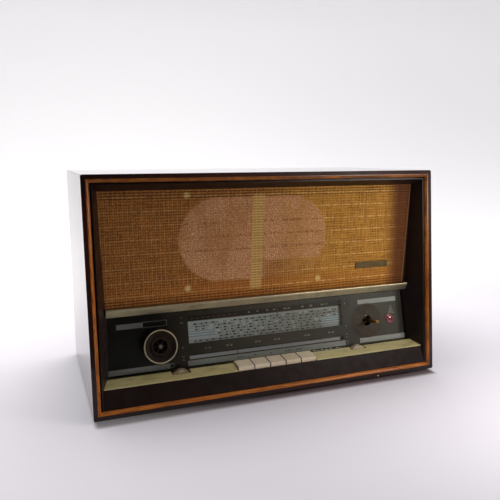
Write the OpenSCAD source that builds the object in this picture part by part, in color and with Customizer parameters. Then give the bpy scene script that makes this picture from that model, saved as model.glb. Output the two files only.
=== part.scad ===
// Tube radio, table model of about 1960, in millimetres.
// Origin under the middle of the cabinet, on the plane of the feet. X runs along the front, Y to the back.
// Inside the modules y counts from the front bottom edge and z from the underside of the cabinet.

/* [Cabinet] */
// Width over the side panels
cab_w = 600; // [570:2:660]
// Height of the body without its feet
cab_h = 357; // [345:1:400]
// Depth along the bottom
cab_d = 328; // [324:2:380]
// Thickness of the cabinet boards
board = 12; // [10:0.5:14]
// Lean of the front edge back from upright, in degrees
front_lean = 5; // [3:0.5:6]
// Rounding of the long edges
edge_r = 3; // [1:0.5:5]
// Width of the quarter round bead in the front edge
bead_w = 5.4; // [3:0.2:7]
// Height of the feet
foot_h = 5; // [3:0.5:12]
// Diameter of the feet
foot_d = 24; // [16:1:36]

/* [Surround and grille] */
// Dark gap between the boards and the surround
reveal = 2; // [1:0.25:3]
// Distance of the surround behind the front edge
surround_set = 4; // [2:0.5:6]
// Slope of the surround's sides, in degrees
surround_draft = 20; // [16:1:23]
// Distance of the grille cloth behind the front bottom edge
grille_y = 55; // [54:0.5:58]
// Thickness of the grille cloth
cloth_t = 1; // [0.6:0.1:1.5]
// Thickness of the baffle board
baffle_t = 8; // [6:0.5:10]
// Height of the underside of the baffle board above the bottom of the printed dial
grille_up = 94; // [94:0.5:98]
// Height of the grille bar
bar_h = 15.3; // [13:0.1:18]
// How far the grille bar stands out of the cloth
bar_out = 8.8; // [6:0.2:11]
// Length of the blank badge plate
badge_w = 65; // [40:1:90]
// Height of the blank badge plate
badge_h = 11; // [8:0.5:16]
// Distance of the middle of the badge plate from the end of the surround
badge_in = 88; // [70:1:130]
// Height of the middle of the badge plate above the underside of the baffle board
badge_up = 46; // [30:1:90]

/* [Dial] */
// Height of the bottom of the printed dial
dial_z = 50; // [49.5:0.25:51]
// Distance of the dial behind the front edge at that height
dial_y = 43.5; // [43:0.25:45]
// Lean of the dial back from upright, in degrees
dial_lean = 10.8; // [9:0.2:12]
// Height of the glass above the bottom of the printed dial
glass_top = 88; // [86:0.5:89]
// Thickness of the glass
glass_t = 3; // [2.5:0.25:4]
// Half the length of the scale
scale_half = 141.5; // [130:0.5:150]
// Distance of the dial frame behind the front of the glass
frame_w = 24; // [24:0.25:26]
// Thickness of the dial frame sheet
frame_t = 1.5; // [1:0.25:2]
// Distance of the volume and tuning shafts from the middle
shaft_x = 191.5; // [188:0.5:195]
// Height of these shafts above the bottom of the printed dial
shaft_v = 38.2; // [36:0.2:40]
// Diameter of these shafts
shaft_d = 6; // [5:0.5:6.5]
// Hole in the glass round each shaft
shaft_hole_d = 18.6; // [14:0.2:22]
// Distance of the red lamp from the end of the glass
pilot_in = 36; // [30:0.5:38]
// Distance of a pointer's last place from the end of the scale
scale_end = 21.5; // [16:0.5:30]
// Radius at which the tuning shaft drives its cord
capstan_r = 4; // [3.5:0.25:4.5]
// Turns of a cord drum over the travel
drum_turns = 1.5; // [1.5:0.25:2]
// Distance of the drums from the ends of the scale
drum_in = 26.5; // [25:0.5:30]
// Height of the drums above the bottom of the printed dial
drum_v = 45; // [43:0.5:46]

/* [Controls] */
// Diameter of the volume knob
knob_d = 54; // [46:0.5:58]
// Thickness of the volume knob
knob_h = 16; // [13:0.5:18]
// Width of the light ring on the knob
ring_w = 2.6; // [2:0.2:4]
// Diameter of the hollow in the knob's middle
hollow_d = 22; // [18:0.5:24]
// How far the bare tuning shaft stands out of the glass
shaft_out = 32; // [28:0.5:36]
// Distance from key to key
key_pitch = 28; // [24:0.5:30]
// Gap between two keys
key_gap = 1; // [0.8:0.1:2]
// Height of the front edge of the key tops
key_top = 46.9; // [46:0.1:48.5]
// Height of the rod that the keys turn on
rod_z = 42; // [41:0.5:43]
// Distance of that rod in front of the chassis
rod_gap = 16; // [14:0.5:20]
// Diameter of that rod
rod_d = 4; // [3:0.5:5]
// Distance of the tone wheels from the middle
wheel_x = 160.7; // [156:0.5:170]
// Diameter of the tone wheels
wheel_d = 32; // [28:0.5:33]
// Thickness of the tone wheels
wheel_t = 8; // [5:0.5:8.5]
// Height of the top of the tone wheels
wheel_top = 50.4; // [49:0.2:51]
// Notches round a tone wheel
wheel_notches = 48; // [30:2:60]

/* [Inside] */
// How far the chassis reaches past the volume and tuning shafts, on each side
chassis_past = 43.5; // [40:0.5:56]
// Distance of the chassis behind the dial
chassis_back = 84.5; // [84:0.5:88]
// Space between the chassis and the back cover
chassis_gap = 19; // [14:0.5:26]
// Height of the chassis top
chassis_z = 82; // [78:1:86]
// Thickness of the chassis sheet
sheet = 1.5; // [1:0.25:2]
// Length of the speaker opening
mouth_w = 258; // [240:2:264]
// Distance of the speaker opening from the lower edge of the baffle board
mouth_low = 38; // [34:0.5:44]
// Distance of the speaker opening from the upper edge of the baffle board
mouth_high = 31; // [26:0.5:38]
// Distance of the speaker from the middle
speaker_x = -21; // [-30:1:-12]
// Width of the post across the speaker opening
post_w = 26; // [16:1:32]
// Depth of the speaker basket
basket_h = 58; // [50:1:64]
// Diameter of the speaker magnet
magnet_d = 84; // [60:1:96]
// Thickness of the back cover
cover_t = 3; // [2:0.5:4]
// Distance of the back cover inside the rear edge
cover_set = 6; // [4:0.5:10]

/* [Hidden] */
$fn = 64;

// How far a cutter runs past what it cuts, and a length longer than the set
past = 1;
big = 1000;
// Clearance of a shaft in its bearing, and of a piece that only clears its neighbour
run = 0.05;
loose = 0.4;

inner_x = cab_w / 2 - board;
inner_top = cab_h - board;
front_x = inner_x - reveal;
front_top = inner_top - reveal;
slope = tan(surround_draft);
baffle_z = dial_z + grille_up;
cover_y = cab_d - cover_set - cover_t;
foot_in = [40, 34];

lacquer = [0.14, 0.08, 0.08];
satin = [0.13, 0.09, 0.08];
gold = [0.66, 0.40, 0.15];
weave = [0.62, 0.44, 0.22];
champagne = [0.66, 0.62, 0.50];
cream = [0.62, 0.58, 0.42];
ivory = [0.78, 0.72, 0.58];
steel = [0.62, 0.63, 0.64];
brass = [0.72, 0.56, 0.28];
smoke = [0.18, 0.17, 0.15, 0.6];
red = [0.70, 0.10, 0.12];
clear = [0.72, 0.76, 0.76, 0.7];
moulded = [0.70, 0.66, 0.55];
pertinax = [0.45, 0.32, 0.20];
iron = [0.35, 0.35, 0.37];
bobbin = [0.55, 0.36, 0.20];
can_metal = [0.78, 0.79, 0.80];
ply = [0.72, 0.58, 0.40];
black = [0.16, 0.15, 0.15];

// Where the side walls of the surround widen to meet the boards
tie_set = 14;

// Bottom rail and ledge
rail_top = 40.2;
rail_y = 13.4;
rail_lip = 1.2;
rail_tail = 14;
rail_foot_y = 24;
ledge_front = rail_top + 1.6;
ledge_y = dial_y - 7;
ledge_rear = dial_z - 2.8;
ledge_set = 0.4;
ledge_round = 0.6;
ledge_foot = 6;
ledge_t = 2.4;
notch_w = wheel_d - 1.2;
notch_y = 26.5;
sill_y = dial_y + 3.5;
sill_top = rail_top + 2.8;

// Grille bar: a rounded nose, a narrow upright face and a long slope back under it
bar_rise = 8.4;
bar_top = baffle_z + bar_rise;
bar_low = bar_top - bar_h;
bar_nose = grille_y - bar_out;
bar_round = 1.5;
bar_face = 3.2;
bar_under = [5.2, 2.4];
bar_gap = 0.6;
bar_half = front_x - 15;
badge_t = 1.2;
cloth_in = 4;

// Dial pieces, in the plane of the dial: v runs up along the glass, w goes in behind its front face
glass_low = -4;
glass_half = front_x - 10;
strip_t = 0.4;
low_band = [-1.6, 7.1];
high_band = [68.2, 76.4];
band_half = scale_half + 3.5;
side_band = shaft_x - 16.5;
eye_half = 19;
band_end = [21, 20];
rail_v = [2, 84];
rail_w = 7;
rail_rod_d = 2.5;
tab_x = scale_half + 5;
tab_t = 1.5;
tab_reach = [-2, 14, 76, 87];
frame_v = [8, 82];
frame_in_x = 14;
backing_w = 9.6;
backing_t = 1;
backing_in = 5.5;
bushing_d = 13;
bushing_w = [2, 4];
arm_out = 33.5;
arm_v = [12, 60];
arm_down = [2, 40];
rail_past = 2.5;

// Pointers, and the drive of the lower one
travel = 2 * (scale_half - scale_end);
am_at = -59;
fm_at = 18;
slider = [12, 4.8, 7];
needle = [1.2, 1];
needle_reach = [15, 18];
inner_shaft_d = shaft_d - 1;
capstan_w = 12;
capstan_rim = 1.5;
capstan_step = 2;
slot_w = 1.2;
slot_deep = 2;
drum_x = scale_half - drum_in;
drum_r = travel / (drum_turns * 2 * PI);
drum_w = 13.5;
drum_t = 6;
drum_rim = 1.6;
drum_wall = 1.5;
drum_hub = 7;
drum_edge = 4;
shaft_in = 4.4;
wheel_at = frame_w + 15;
flywheel_r = [9, 17, 25];
flywheel_t = [3, 9];
flywheel_hub = [3, 12];
flywheel_web = 1.5;
rest_angle = 180 * (am_at + travel / 2) / travel;

// Tuning capacitor
can_half = 26;
can_deep = 45;
can_wall = 2.5;
can_side = 2;
vane_r = 22;
vane_t = 0.6;
vane_pitch = 3.6;
vane_count = 8;
vane_start = 13.4;
rotor_d = 8;
gear_d = 24;
gear_w = 9;
rotor_w = 5;
rotor_step = [4, 1.5];
vane_gap = 3.5;

// Closed tuner of the upper scale
fm_size = [60, 48, 52];
fm_neck = [9, 3];
fm_neck_z = 12;

// Magic eye, red lamp and dial lamps
eye_x = -shaft_x - 3.5;
eye_v = 72.3;
eye_d = 19;
eye_len = 62;
eye_face = 21;
pilot_x = glass_half - pilot_in;
pilot_v = 36.4;
pilot_d = 13;
pilot_dome = 13.2;
pilot_out = 1.5;
pilot_rim = [1.6, 1.5];
lamp_x = scale_half + 18.5;
lamp_d = [9, 11];
lamp_len = [4, 8];

// Volume control and knob
pot_d = 28;
pot_deep = 14;
pot_bush_d = 10;
nut_d = 15;
nut_t = 3;
pot_hole = 10;
tag = [3, 1];
tag_w = 5;
tag_z = [-22, -10];
tag_pitch = 8;
knob_low = 3;
knob_crown = 1.8;
knob_dish = 2.2;
knob_slope = 5.6;
hub_wall = [4, 5];
hub_lip = 1;
hub_floor = 4;
star_t = 1.4;
knob_hollow = [7, 4.4];
tube_wall = 2.2;
shaft_flat = 1;

// Tone wheels
wheel_y = 29.5;
wheel_z = wheel_top - wheel_d / 2;
wheel_notch_r = 0.55;
pot_y = 62;
tone_pot_d = 22;
tone_pot_deep = 12;
tone_hole = 11;
bracket = [24, 20, 9];

// Keys
key_count = 5;
key_front = rail_y + rail_lip + 0.8;
key_rear = dial_y - 3;
key_rise = 2.3;
key_round = 1.6;
key_wall = 2.4;
key_skirt = key_top - 13.9;
key_roof = 8;
key_half = key_count * key_pitch / 2;
arm_z = 33;
arm_t = 6;
arm_w = 10;
hub_w = 14;
hub_d = 10;
key_frame_y = 58;
frame_half = key_half + 2.5;
frame_rise = 8;
rod_past = 2;
key_dip = 1.4;
spring_d = 3;
spring_len = 5;
wire = 1;
leg_at = 24;
leg_x = 2.4;
leg_y = 3;
spring_at = 3.2;

// Chassis and what stands on it
chassis_y = dial_y + chassis_back;
chassis_half = shaft_x + chassis_past;
chassis_rear = cover_y - chassis_gap;
rod_y = chassis_y - rod_gap;
bolt_in = [18, 22, 20];
bolt_d = 5.4;
bolt_head_d = 12;
bolt_head_h = 4;
bolt_recess = [15, 5];
nut = [9, 4];
lip_w = 36;
tube_hole_d = 18;
tube_in = 65;
tube_pitch = 75;
tube_rear = 44;
tube_last = 62;
tube_d = 22;
tube_h = 50;
output_h = 72;
socket_up = 5;
tube_top = chassis_z + socket_up;
socket_base = 4;
socket_rim_d = 25;
socket_bore_d = 14;
power_size = [84, 74, 72];
power_in = 55;
power_rear = 67;
output_size = [52, 44, 44];
output_in = 135;
output_front = 45;
filter_size = [35, 76];
filter_in = 130;
filter_rear = 47;
filter_rim = [40, 3];
filter_top = [28, 1.5];
can_size = [28, 28, 58];
can_rear = [88, 110];
can_core = [8, 6];
can_groove = [8, [10, 40]];
ferrite_in = 215;
ferrite_up = 62;
ferrite_rear = 12;
ferrite_d = 10;
ferrite_len = 190;
coil_d = 15;
coil_len = 34;
coil_at = [-58, 52];
stand_at = 85;
stand_size = [6, 14, 7];
socket_z = 50;
socket_pair = 80.5;
socket_step = 19;
socket_d = 9;
plug_d = 4;
socket_plate = [40, 3, 20];
socket_in = 9;

// Speaker: pressed basket, cone and magnet behind the baffle board
mouth_h = inner_top - mouth_high - baffle_z - mouth_low;
speaker_z = baffle_z + mouth_low + mouth_h / 2;
basket_y = grille_y + cloth_t + baffle_t;
basket_sheet = 2;
flange_w = mouth_w + 22;
flange_h = mouth_h + 38;
flange_band = 12;
lug_d = 18;
neck_w = 14;
speaker_bolt_d = 4.4;
speaker_nut = [8, 3.5];
bolt_past = 2;
bolt_x = mouth_w / 2 - 10.5;
bolt_z = mouth_h / 2 + 10;
cone_r = 36;
cone_y = 1.6;
cone_t = 1.5;
coil_r = 15;
rib_w = [34, 60];
rib_at = [3, 8];
rib_foot = 4;
back_rim = 9;
cone_gap = 14;
magnet_t = [4, 18, 4];
magnet_step = 8;

// Back cover
slot = [34, 5];
slot_pitch = [46, 20];
slot_low = 128;
slot_edge = 36;
short_row = 100;
socket_cut = [48, 28];
screw_d = 4;
screw_head = [8, 2];
screw_len = 14;
screw_in = [7, 10];
block_size = [16, 16, 24];
grommet_x = inner_x - 88;
grommet_z = 34;
grommet_d = [12, 17];
grommet_lip = 2;
cord_d = 7;

function rim_y(z) = z * tan(front_lean);
function dial_at(z, w = 0) = dial_y + (z - dial_z) * tan(dial_lean) + w / cos(dial_lean);
function dial_pt(v, w) = [dial_y + v * sin(dial_lean) + w * cos(dial_lean),
    dial_z + v * cos(dial_lean) - w * sin(dial_lean)];
function around(middle, length) = [middle - length / 2, middle + length / 2];

// Placing
module stand() translate([0, -cab_d / 2, foot_h]) children();
module leaning() stand() rotate([-front_lean, 0, 0]) children();
module in_dial(u = 0, v = 0) stand() translate([0, dial_y, dial_z]) rotate([-dial_lean, 0, 0])
    translate([u, 0, v]) children();
module mirrored() {
    children();
    mirror([1, 0, 0]) children();
}

// A y-z outline drawn out along X
module along_x(len) rotate([90, 0, 90]) translate([0, 0, -len / 2]) linear_extrude(len) children();

// A block given by its two ends on each axis
module block(x, y, z) translate([x[0], y[0], z[0]]) cube([x[1] - x[0], y[1] - y[0], z[1] - z[0]]);

// A round rod along Y from y[0] to y[1]
module rod_y_axis(d, y) translate([0, y[1], 0]) rotate([90, 0, 0]) cylinder(d = d, h = y[1] - y[0]);

// A round rod along X, centred
module rod_x(d, len) rotate([0, 90, 0]) cylinder(d = d, h = len, center = true);

// A revolved outline whose height points out of the dial
module turned() rotate([90, 0, 0]) rotate_extrude() children();

// A flat shape with half-round ends, drawn out along Y
module oval(w, h, t) rotate([90, 0, 0]) translate([0, 0, -t]) linear_extrude(t) {
    square([w - h, h], center = true);
    for (s = [-1, 1]) translate([s * (w - h) / 2, 0]) circle(d = h);
}

// The open space inside the surround, as the sloping walls bound it
recess_y = [-20, 90];
module recess() rotate([-front_lean, 0, 0]) intersection() {
    translate([0, 0, -big / 2]) linear_extrude(big)
        polygon([for (s = [-1, 1], end = [0, 1]) let (y = recess_y[s > 0 ? end : 1 - end])
            [s * (front_x - slope * y), y]]);
    along_x(cab_w) polygon([[recess_y[0], -board], [recess_y[1], -board],
        [recess_y[1], top_at(recess_y[1])], [recess_y[0], top_at(recess_y[0])]]);
}
function top_at(y) = front_top / cos(front_lean) - slope * y;

// Cabinet with its long edges rounded, and glued blocks for the screws of the back cover
module cabinet() color(lacquer) stand() difference() {
    union() {
        difference() {
            intersection() {
                along_x(cab_w) polygon([[0, 0], [cab_d, 0], [cab_d, cab_h], [rim_y(cab_h), cab_h]]);
                translate([0, cab_d + past, cab_h / 2]) rotate([90, 0, 0])
                    linear_extrude(cab_d + 2 * past) rounded_end();
            }
            block([-inner_x, inner_x], [-past, cab_d + past], [board, inner_top]);
        }
        mirrored() for (z = back_rows) block([inner_x - block_size[0], inner_x + past],
            [cover_y - block_size[1], cover_y], around(z, block_size[2]));
    }
    rotate([-front_lean, 0, 0])
        block([-inner_x - bead_w, inner_x + bead_w], [-past, bead_w], [bead_low, bead_high]);
    chassis_points() translate([0, 0, -past]) cylinder(d = bolt_d, h = board + 2 * past);
    chassis_points() translate([0, 0, -past]) cylinder(d = bolt_recess[0], h = bolt_recess[1] + past);
    back_points() rod_y_axis(screw_d, [cover_y - screw_len, cover_y + past]);
}
module rounded_end() {
    square([cab_w - 2 * edge_r, cab_h], center = true);
    square([cab_w, cab_h - 2 * edge_r], center = true);
    for (a = [-1, 1], b = [-1, 1])
        translate([a * (cab_w / 2 - edge_r), b * (cab_h / 2 - edge_r)]) circle(r = edge_r);
}
bead_low = board / cos(front_lean) - bead_w;
bead_high = inner_top / cos(front_lean) + bead_w;

// One side of the bead, with both ends cut to a mitre
module bead_side(len) intersection() {
    along_x(len) intersection() {
        square(bead_w);
        translate([bead_w, 0]) circle(r = bead_w);
    }
    rotate([90, 0, 0]) translate([0, 0, -2 * bead_w]) linear_extrude(3 * bead_w)
        polygon([
            [-len / 2, 0],
            [len / 2, 0],
            [len / 2 - 2 * bead_w, 2 * bead_w],
            [2 * bead_w - len / 2, 2 * bead_w]]);
}

module inlay_bead() color(gold) leaning() {
    wide = 2 * (inner_x + bead_w);
    tall = bead_high - bead_low;
    translate([0, 0, bead_low]) bead_side(wide);
    translate([0, 0, bead_high]) mirror([0, 0, 1]) bead_side(wide);
    mirrored() translate([-wide / 2, 0, bead_low + tall / 2]) rotate([0, 90, 0]) bead_side(tall);
}

// Side view of the surround, from its front edge to the cloth above and the glass below
module surround_outline(set, top) polygon([
    [rim_y(board) + set, board], [rim_y(top) + set, top], [grille_y, top], [grille_y, baffle_z],
    [dial_at(baffle_z), baffle_z], [dial_at(board), board]]);

module front_surround() color(satin) stand() difference() {
    union() {
        along_x(2 * front_x) surround_outline(surround_set, front_top);
        along_x(2 * inner_x) surround_outline(surround_set + tie_set, inner_top);
    }
    recess();
}

module bottom_rail() color(satin) stand() intersection() {
    along_x(cab_w) polygon([[rim_y(board) + surround_set, board], [rail_y, rail_top],
        [rail_y + rail_lip, rail_top], [rail_y + rail_lip, rail_top - rail_tail], [rail_foot_y, board]]);
    recess();
}

// Ledge in front of the dial, open in front of the keys and notched for the tone wheels.
// Its rear edge folds down to a low sill that passes under the glass and behind the keys.
module ledge() color(cream) stand() difference() {
    intersection() {
        along_x(cab_w) polygon([
            [rail_y + ledge_set, rail_top],
            [rail_y + ledge_set, ledge_front - ledge_round],
            [rail_y + ledge_set + ledge_round, ledge_front],
            [ledge_y, ledge_rear],
            [ledge_y, sill_top],
            [sill_y, sill_top],
            [sill_y, rail_top],
            [ledge_y - ledge_t, rail_top],
            [ledge_y - ledge_t, ledge_rear - ledge_t],
            [rail_y + ledge_foot, rail_top]]);
        recess();
    }
    block([-key_half - key_gap, key_half + key_gap], [0, key_rear + loose], [0, big]);
    mirrored() block(around(wheel_x, notch_w), [notch_y, big], [0, big]);
}

// The two-lobed speaker opening
module mouth(t) difference() {
    oval(mouth_w, mouth_h, t);
    block(around(0, post_w), [-past, t + past], [-mouth_h, mouth_h]);
}

module speaker_place(y) stand() translate([speaker_x, y, speaker_z]) children();
module speaker_points() for (a = [-1, 1], b = [-1, 1]) translate([a * bolt_x, 0, b * bolt_z]) children();

module baffle_board() color(ply) difference() {
    stand() block([-inner_x, inner_x], [grille_y + cloth_t, basket_y], [baffle_z, inner_top]);
    speaker_place(grille_y + cloth_t - past) mouth(baffle_t + 2 * past);
    speaker_place(0) speaker_points() rod_y_axis(speaker_bolt_d, [grille_y, basket_y + past]);
}

module grille_cloth() color(weave) stand() block([cloth_in - inner_x, inner_x - cloth_in],
    [grille_y, grille_y + cloth_t], [baffle_z, inner_top - cloth_in]);

module grille_bar() color(champagne) stand() intersection() {
    foot = dial_at(bar_low) - bar_gap;
    along_x(2 * bar_half) union() {
        polygon([
            [grille_y, bar_top],
            [bar_nose + bar_round, bar_top],
            [bar_nose, bar_top - bar_round],
            [bar_nose, bar_top - bar_face],
            [bar_nose + bar_under[0], bar_low + bar_under[1]],
            [foot, bar_low],
            [foot, baffle_z - loose],
            [grille_y, baffle_z - loose]]);
        translate([bar_nose + bar_round, bar_top - bar_round]) circle(r = bar_round);
    }
    recess();
}

module badge_plate() color(champagne) stand() block(around(front_x - badge_in, badge_w),
    [grille_y - badge_t, grille_y], around(baffle_z + badge_up, badge_h));

module dial_glass() color(smoke) in_dial() difference() {
    block([-glass_half, glass_half], [0, glass_t], [glass_low, glass_top]);
    through = [-past, glass_t + past];
    mirrored() translate([shaft_x, 0, shaft_v]) rod_y_axis(shaft_hole_d, through);
    translate([pilot_x, 0, pilot_v]) rod_y_axis(pilot_d, through);
}

module scale_backing() color(can_metal) in_dial() block([-tab_x, tab_x], [backing_w, backing_w + backing_t],
    [rail_v[0] + backing_in, rail_v[1] - backing_in]);

// Bright strips that lie against the back of the glass
module dial_strips() color(steel) in_dial() {
    behind = [glass_t, glass_t + strip_t];
    block([band_end[0] - glass_half, eye_x - eye_half], behind, high_band);
    block([side_band, glass_half - band_end[1]], behind, high_band);
    mirrored() block([side_band, glass_half - 2], behind, low_band);
    block([-band_half, band_half], behind, low_band);
}

// Indicator tube that lies behind its window, in a clip on the dial frame
module magic_eye() color(clear) in_dial(eye_x, eye_v) translate([0, frame_w - eye_d / 2, 0]) {
    translate([-eye_len / 2 + eye_face, 0, 0]) rod_x(eye_d, eye_len);
    translate([eye_face, 0, 0]) sphere(d = eye_d * 0.7);
    translate([eye_face - eye_len - eye_d / 2, 0, 0]) cube([eye_d, eye_d, eye_d], center = true);
}

// Red lens that fills its hole in the glass and has a flange behind it
module pilot_lens() color(red) in_dial(pilot_x, pilot_v) turned() difference() {
    back = glass_t + pilot_rim[1];
    union() {
        translate([0, -glass_t]) square([pilot_d / 2, glass_t]);
        intersection() {
            translate([0, pilot_out - pilot_dome]) circle(r = pilot_dome);
            square([pilot_d / 2, pilot_dome]);
        }
        translate([0, -back]) square([pilot_d / 2 + pilot_rim[0], pilot_rim[1]]);
    }
    translate([-past, -back - past]) square([past + pilot_d / 4, back - glass_t / 2 + past]);
    translate([-big, -big / 2]) square([big, big]);
}

// Small lamps, each in a holder on the dial frame
module dial_lamps() color(moulded) for (p = [[-lamp_x, drum_v], [lamp_x, drum_v], [pilot_x, pilot_v]])
    in_dial(p[0], p[1]) {
        rod_y_axis(lamp_d[1], [frame_w - lamp_len[1], frame_w]);
        rod_y_axis(lamp_d[0], [frame_w - lamp_len[0] - lamp_len[1], frame_w - lamp_len[1]]);
        translate([0, frame_w - lamp_len[0] - lamp_len[1], 0]) sphere(d = lamp_d[0]);
    }

module dial_frame() color(steel) {
    behind = [frame_w, frame_w + frame_t];
    in_dial() difference() {
        union() {
            block([frame_in_x - glass_half, glass_half - frame_in_x], behind, frame_v);
            // Tabs that hold the pointer rails and the backing sheet
            mirrored() for (v = [[tab_reach[0], tab_reach[1]], [tab_reach[2], tab_reach[3]]])
                block([tab_x, tab_x + tab_t], [rail_w - rail_rod_d, behind[1]], v);
            mirrored() block([tab_x, tab_x + tab_t], [backing_w + backing_t, behind[1]],
                [tab_reach[1], tab_reach[2]]);
            translate([shaft_x, 0, shaft_v])
                rod_y_axis(bushing_d, [frame_w - bushing_w[0], frame_w + bushing_w[1]]);
        }
        translate([shaft_x, 0, shaft_v]) rod_y_axis(inner_shaft_d + 2 * run, [0, frame_w + big]);
        translate([-shaft_x, 0, shaft_v]) rod_y_axis(pot_bush_d, [0, frame_w + big]);
        mirrored() translate([drum_x, 0, drum_v]) rod_y_axis(shaft_d + 2 * run, [0, frame_w + big]);
        for (v = rail_v) translate([0, rail_w, v]) rod_x(rail_rod_d, big);
    }
    // Arms back to the chassis
    stand() mirrored() translate([shaft_x + arm_out, 0, 0]) along_x(frame_t)
        polygon([
            dial_pt(arm_v[0], behind[1]),
            dial_pt(arm_v[1], behind[1]),
            [chassis_y, chassis_z - arm_down[0]],
            [chassis_y, chassis_z - arm_down[1]]]);
}

module pointer_rails() color(steel) for (v = rail_v)
    in_dial(0, v) translate([0, rail_w, 0]) rod_x(rail_rod_d, 2 * (tab_x + tab_t + rail_past));

// A slider on its rail, with a flat needle that crosses the open part of the scale
module pointer(side) color(red) {
    front = rail_w - slider[1] / 2;
    difference() {
        block(around(0, slider[0]), around(rail_w, slider[1]), around(0, slider[2]));
        translate([0, rail_w, 0]) rod_x(rail_rod_d + 2 * run, slider[0] + past);
    }
    block(around(0, needle[0]), [front, front + needle[1]],
        side > 0 ? [slider[2] / 2, needle_reach[0]] : [-needle_reach[1], -slider[2] / 2]);
}
module am_pointer() in_dial(am_at, rail_v[0]) pointer(1);
module fm_pointer() in_dial(fm_at, rail_v[1]) pointer(-1);

// Tuning shaft: the free end takes a knob, and the drive cord runs round the capstan behind it
module tuning_shaft() color(brass) in_dial(shaft_x, shaft_v) difference() {
    union() {
        rod_y_axis(shaft_d, [-shaft_out, capstan_w - capstan_step]);
        rod_y_axis(inner_shaft_d, [0, wheel_at + flywheel_hub[1] / 2]);
        rod_y_axis(2 * capstan_r, [capstan_w, frame_w - bushing_w[0] - loose]);
        rod_y_axis(2 * (capstan_r + capstan_rim), [capstan_w - 1, capstan_w]);
    }
    block(around(0, slot_w), [-shaft_out - past, slot_deep - shaft_out], around(0, 2 * shaft_d));
}

// Flywheel: a hub, a thin web with round openings and a heavy rim
module flywheel() color(steel) in_dial(shaft_x, shaft_v) difference() {
    translate([0, wheel_at, 0]) turned() {
        bore_r = inner_shaft_d / 2;
        translate([bore_r, -flywheel_hub[0]]) square([flywheel_r[0] - bore_r, flywheel_hub[1]]);
        translate([bore_r, 0]) square([flywheel_r[1] + past - bore_r, flywheel_t[0]]);
        translate([flywheel_r[1], 0]) square([flywheel_r[2] - flywheel_r[1], flywheel_t[1]]);
    }
    hole_d = flywheel_r[1] - flywheel_r[0] - 2 * flywheel_web;
    for (a = [0:60:300]) rotate([0, a, 0]) translate([(flywheel_r[0] + flywheel_r[1]) / 2, 0, 0])
        rod_y_axis(hole_d, [frame_w, frame_w + big]);
}

// A grooved drum on a shaft that runs in the dial frame
module drum() {
    translate([0, drum_w + drum_t, 0]) turned() difference() {
        square([drum_r + drum_rim, drum_t]);
        translate([drum_r, drum_wall]) square([drum_rim + past, drum_t - 2 * drum_wall]);
        for (low = [-past, drum_t - drum_wall])
            translate([drum_hub, low]) square([drum_r - drum_hub - drum_edge, drum_wall + past]);
    }
    rod_y_axis(shaft_d, [drum_w + drum_t, frame_w + frame_t + shaft_in - loose]);
}
module am_drum() color(moulded) in_dial(drum_x, drum_v) drum();
module fm_drum() color(moulded) in_dial(-drum_x, drum_v) drum();

// Tuning capacitor: a frame with the fixed vanes, and a rotor whose vanes pass between them
module capacitor_frame() color(steel) in_dial(drum_x, drum_v) translate([0, frame_w + frame_t, 0]) {
    plate = [-can_half, can_half];
    difference() {
        block(plate, [0, can_wall], plate);
        rod_y_axis(shaft_d + 2 * run, [-past, can_wall + past]);
    }
    // Housing of the reduction drive
    difference() {
        rod_y_axis(gear_d, [can_wall, gear_w]);
        rod_y_axis(shaft_d + 2 * run, [0, rotor_w]);
        rod_y_axis(rotor_d + 2 * run, [rotor_w - run, gear_w + past]);
    }
    difference() {
        block(plate, [can_deep - can_wall, can_deep], plate);
        rod_y_axis(rotor_d + 2 * run, [can_deep - can_wall - past, can_deep + past]);
    }
    mirrored() block([can_half - can_side, can_half], [can_wall, can_deep - can_wall], plate);
    for (i = [0:vane_count]) difference() {
        y = vane_front(i - 0.5);
        block([can_side - can_half, can_half - can_side], [y, y + vane_t], [1 - can_half, -rotor_w]);
        rod_y_axis(rotor_d + 2 * vane_gap, [0, can_deep]);
    }
}
function vane_front(i) = vane_start + i * vane_pitch;

module capacitor_rotor() color(can_metal) in_dial(drum_x, drum_v) translate([0, frame_w + frame_t, 0]) {
    rod_y_axis(rotor_d, [rotor_w + loose, can_deep + can_wall]);
    rod_y_axis(rotor_d + rotor_step[0], [gear_w + can_wall, can_deep - can_wall - rotor_step[1]]);
    rotate([0, rest_angle, 0]) for (i = [0:vane_count - 1]) intersection() {
        rod_y_axis(2 * vane_r, [vane_front(i), vane_front(i) + vane_t]);
        block([-vane_r, vane_r], [0, can_deep], [-vane_r, 0]);
    }
}

// Closed tuner of the upper scale, with two trimmer necks on its back
module fm_tuner() color(can_metal) in_dial(-drum_x, drum_v) difference() {
    front = frame_w + frame_t;
    back = front + fm_size[1];
    union() {
        block(around(0, fm_size[0]), [front, back], around(0, fm_size[2]));
        for (z = [-fm_neck_z, fm_neck_z]) translate([0, 0, z])
            rod_y_axis(fm_neck[0], [back, back + fm_neck[1]]);
    }
    rod_y_axis(shaft_d + 2 * run, [front - past, front + shaft_in]);
}

module volume_pot() color(pertinax) in_dial(-shaft_x, shaft_v) difference() {
    behind = frame_w + frame_t;
    union() {
        rod_y_axis(pot_d, [behind, behind + pot_deep]);
        rod_y_axis(pot_bush_d, [frame_w - 2 * nut_t, behind]);
        rod_y_axis(nut_d, [frame_w - nut_t, frame_w]);
        // Three soldering tags
        for (i = [-1:1]) block(around(i * tag_pitch, tag[0]), around(behind + tag_w, tag[1]), tag_z);
    }
    rod_y_axis(shaft_d + 2 * run, [0, frame_w + pot_hole]);
}

module volume_shaft() color(steel) in_dial(-shaft_x, shaft_v) difference() {
    rod_y_axis(shaft_d, [-knob_h - 2, frame_w + pot_hole - past]);
    block([shaft_d / 2 - shaft_flat, shaft_d], [-knob_h - 3, -knob_low - past], around(0, 2 * shaft_d));
}

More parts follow.
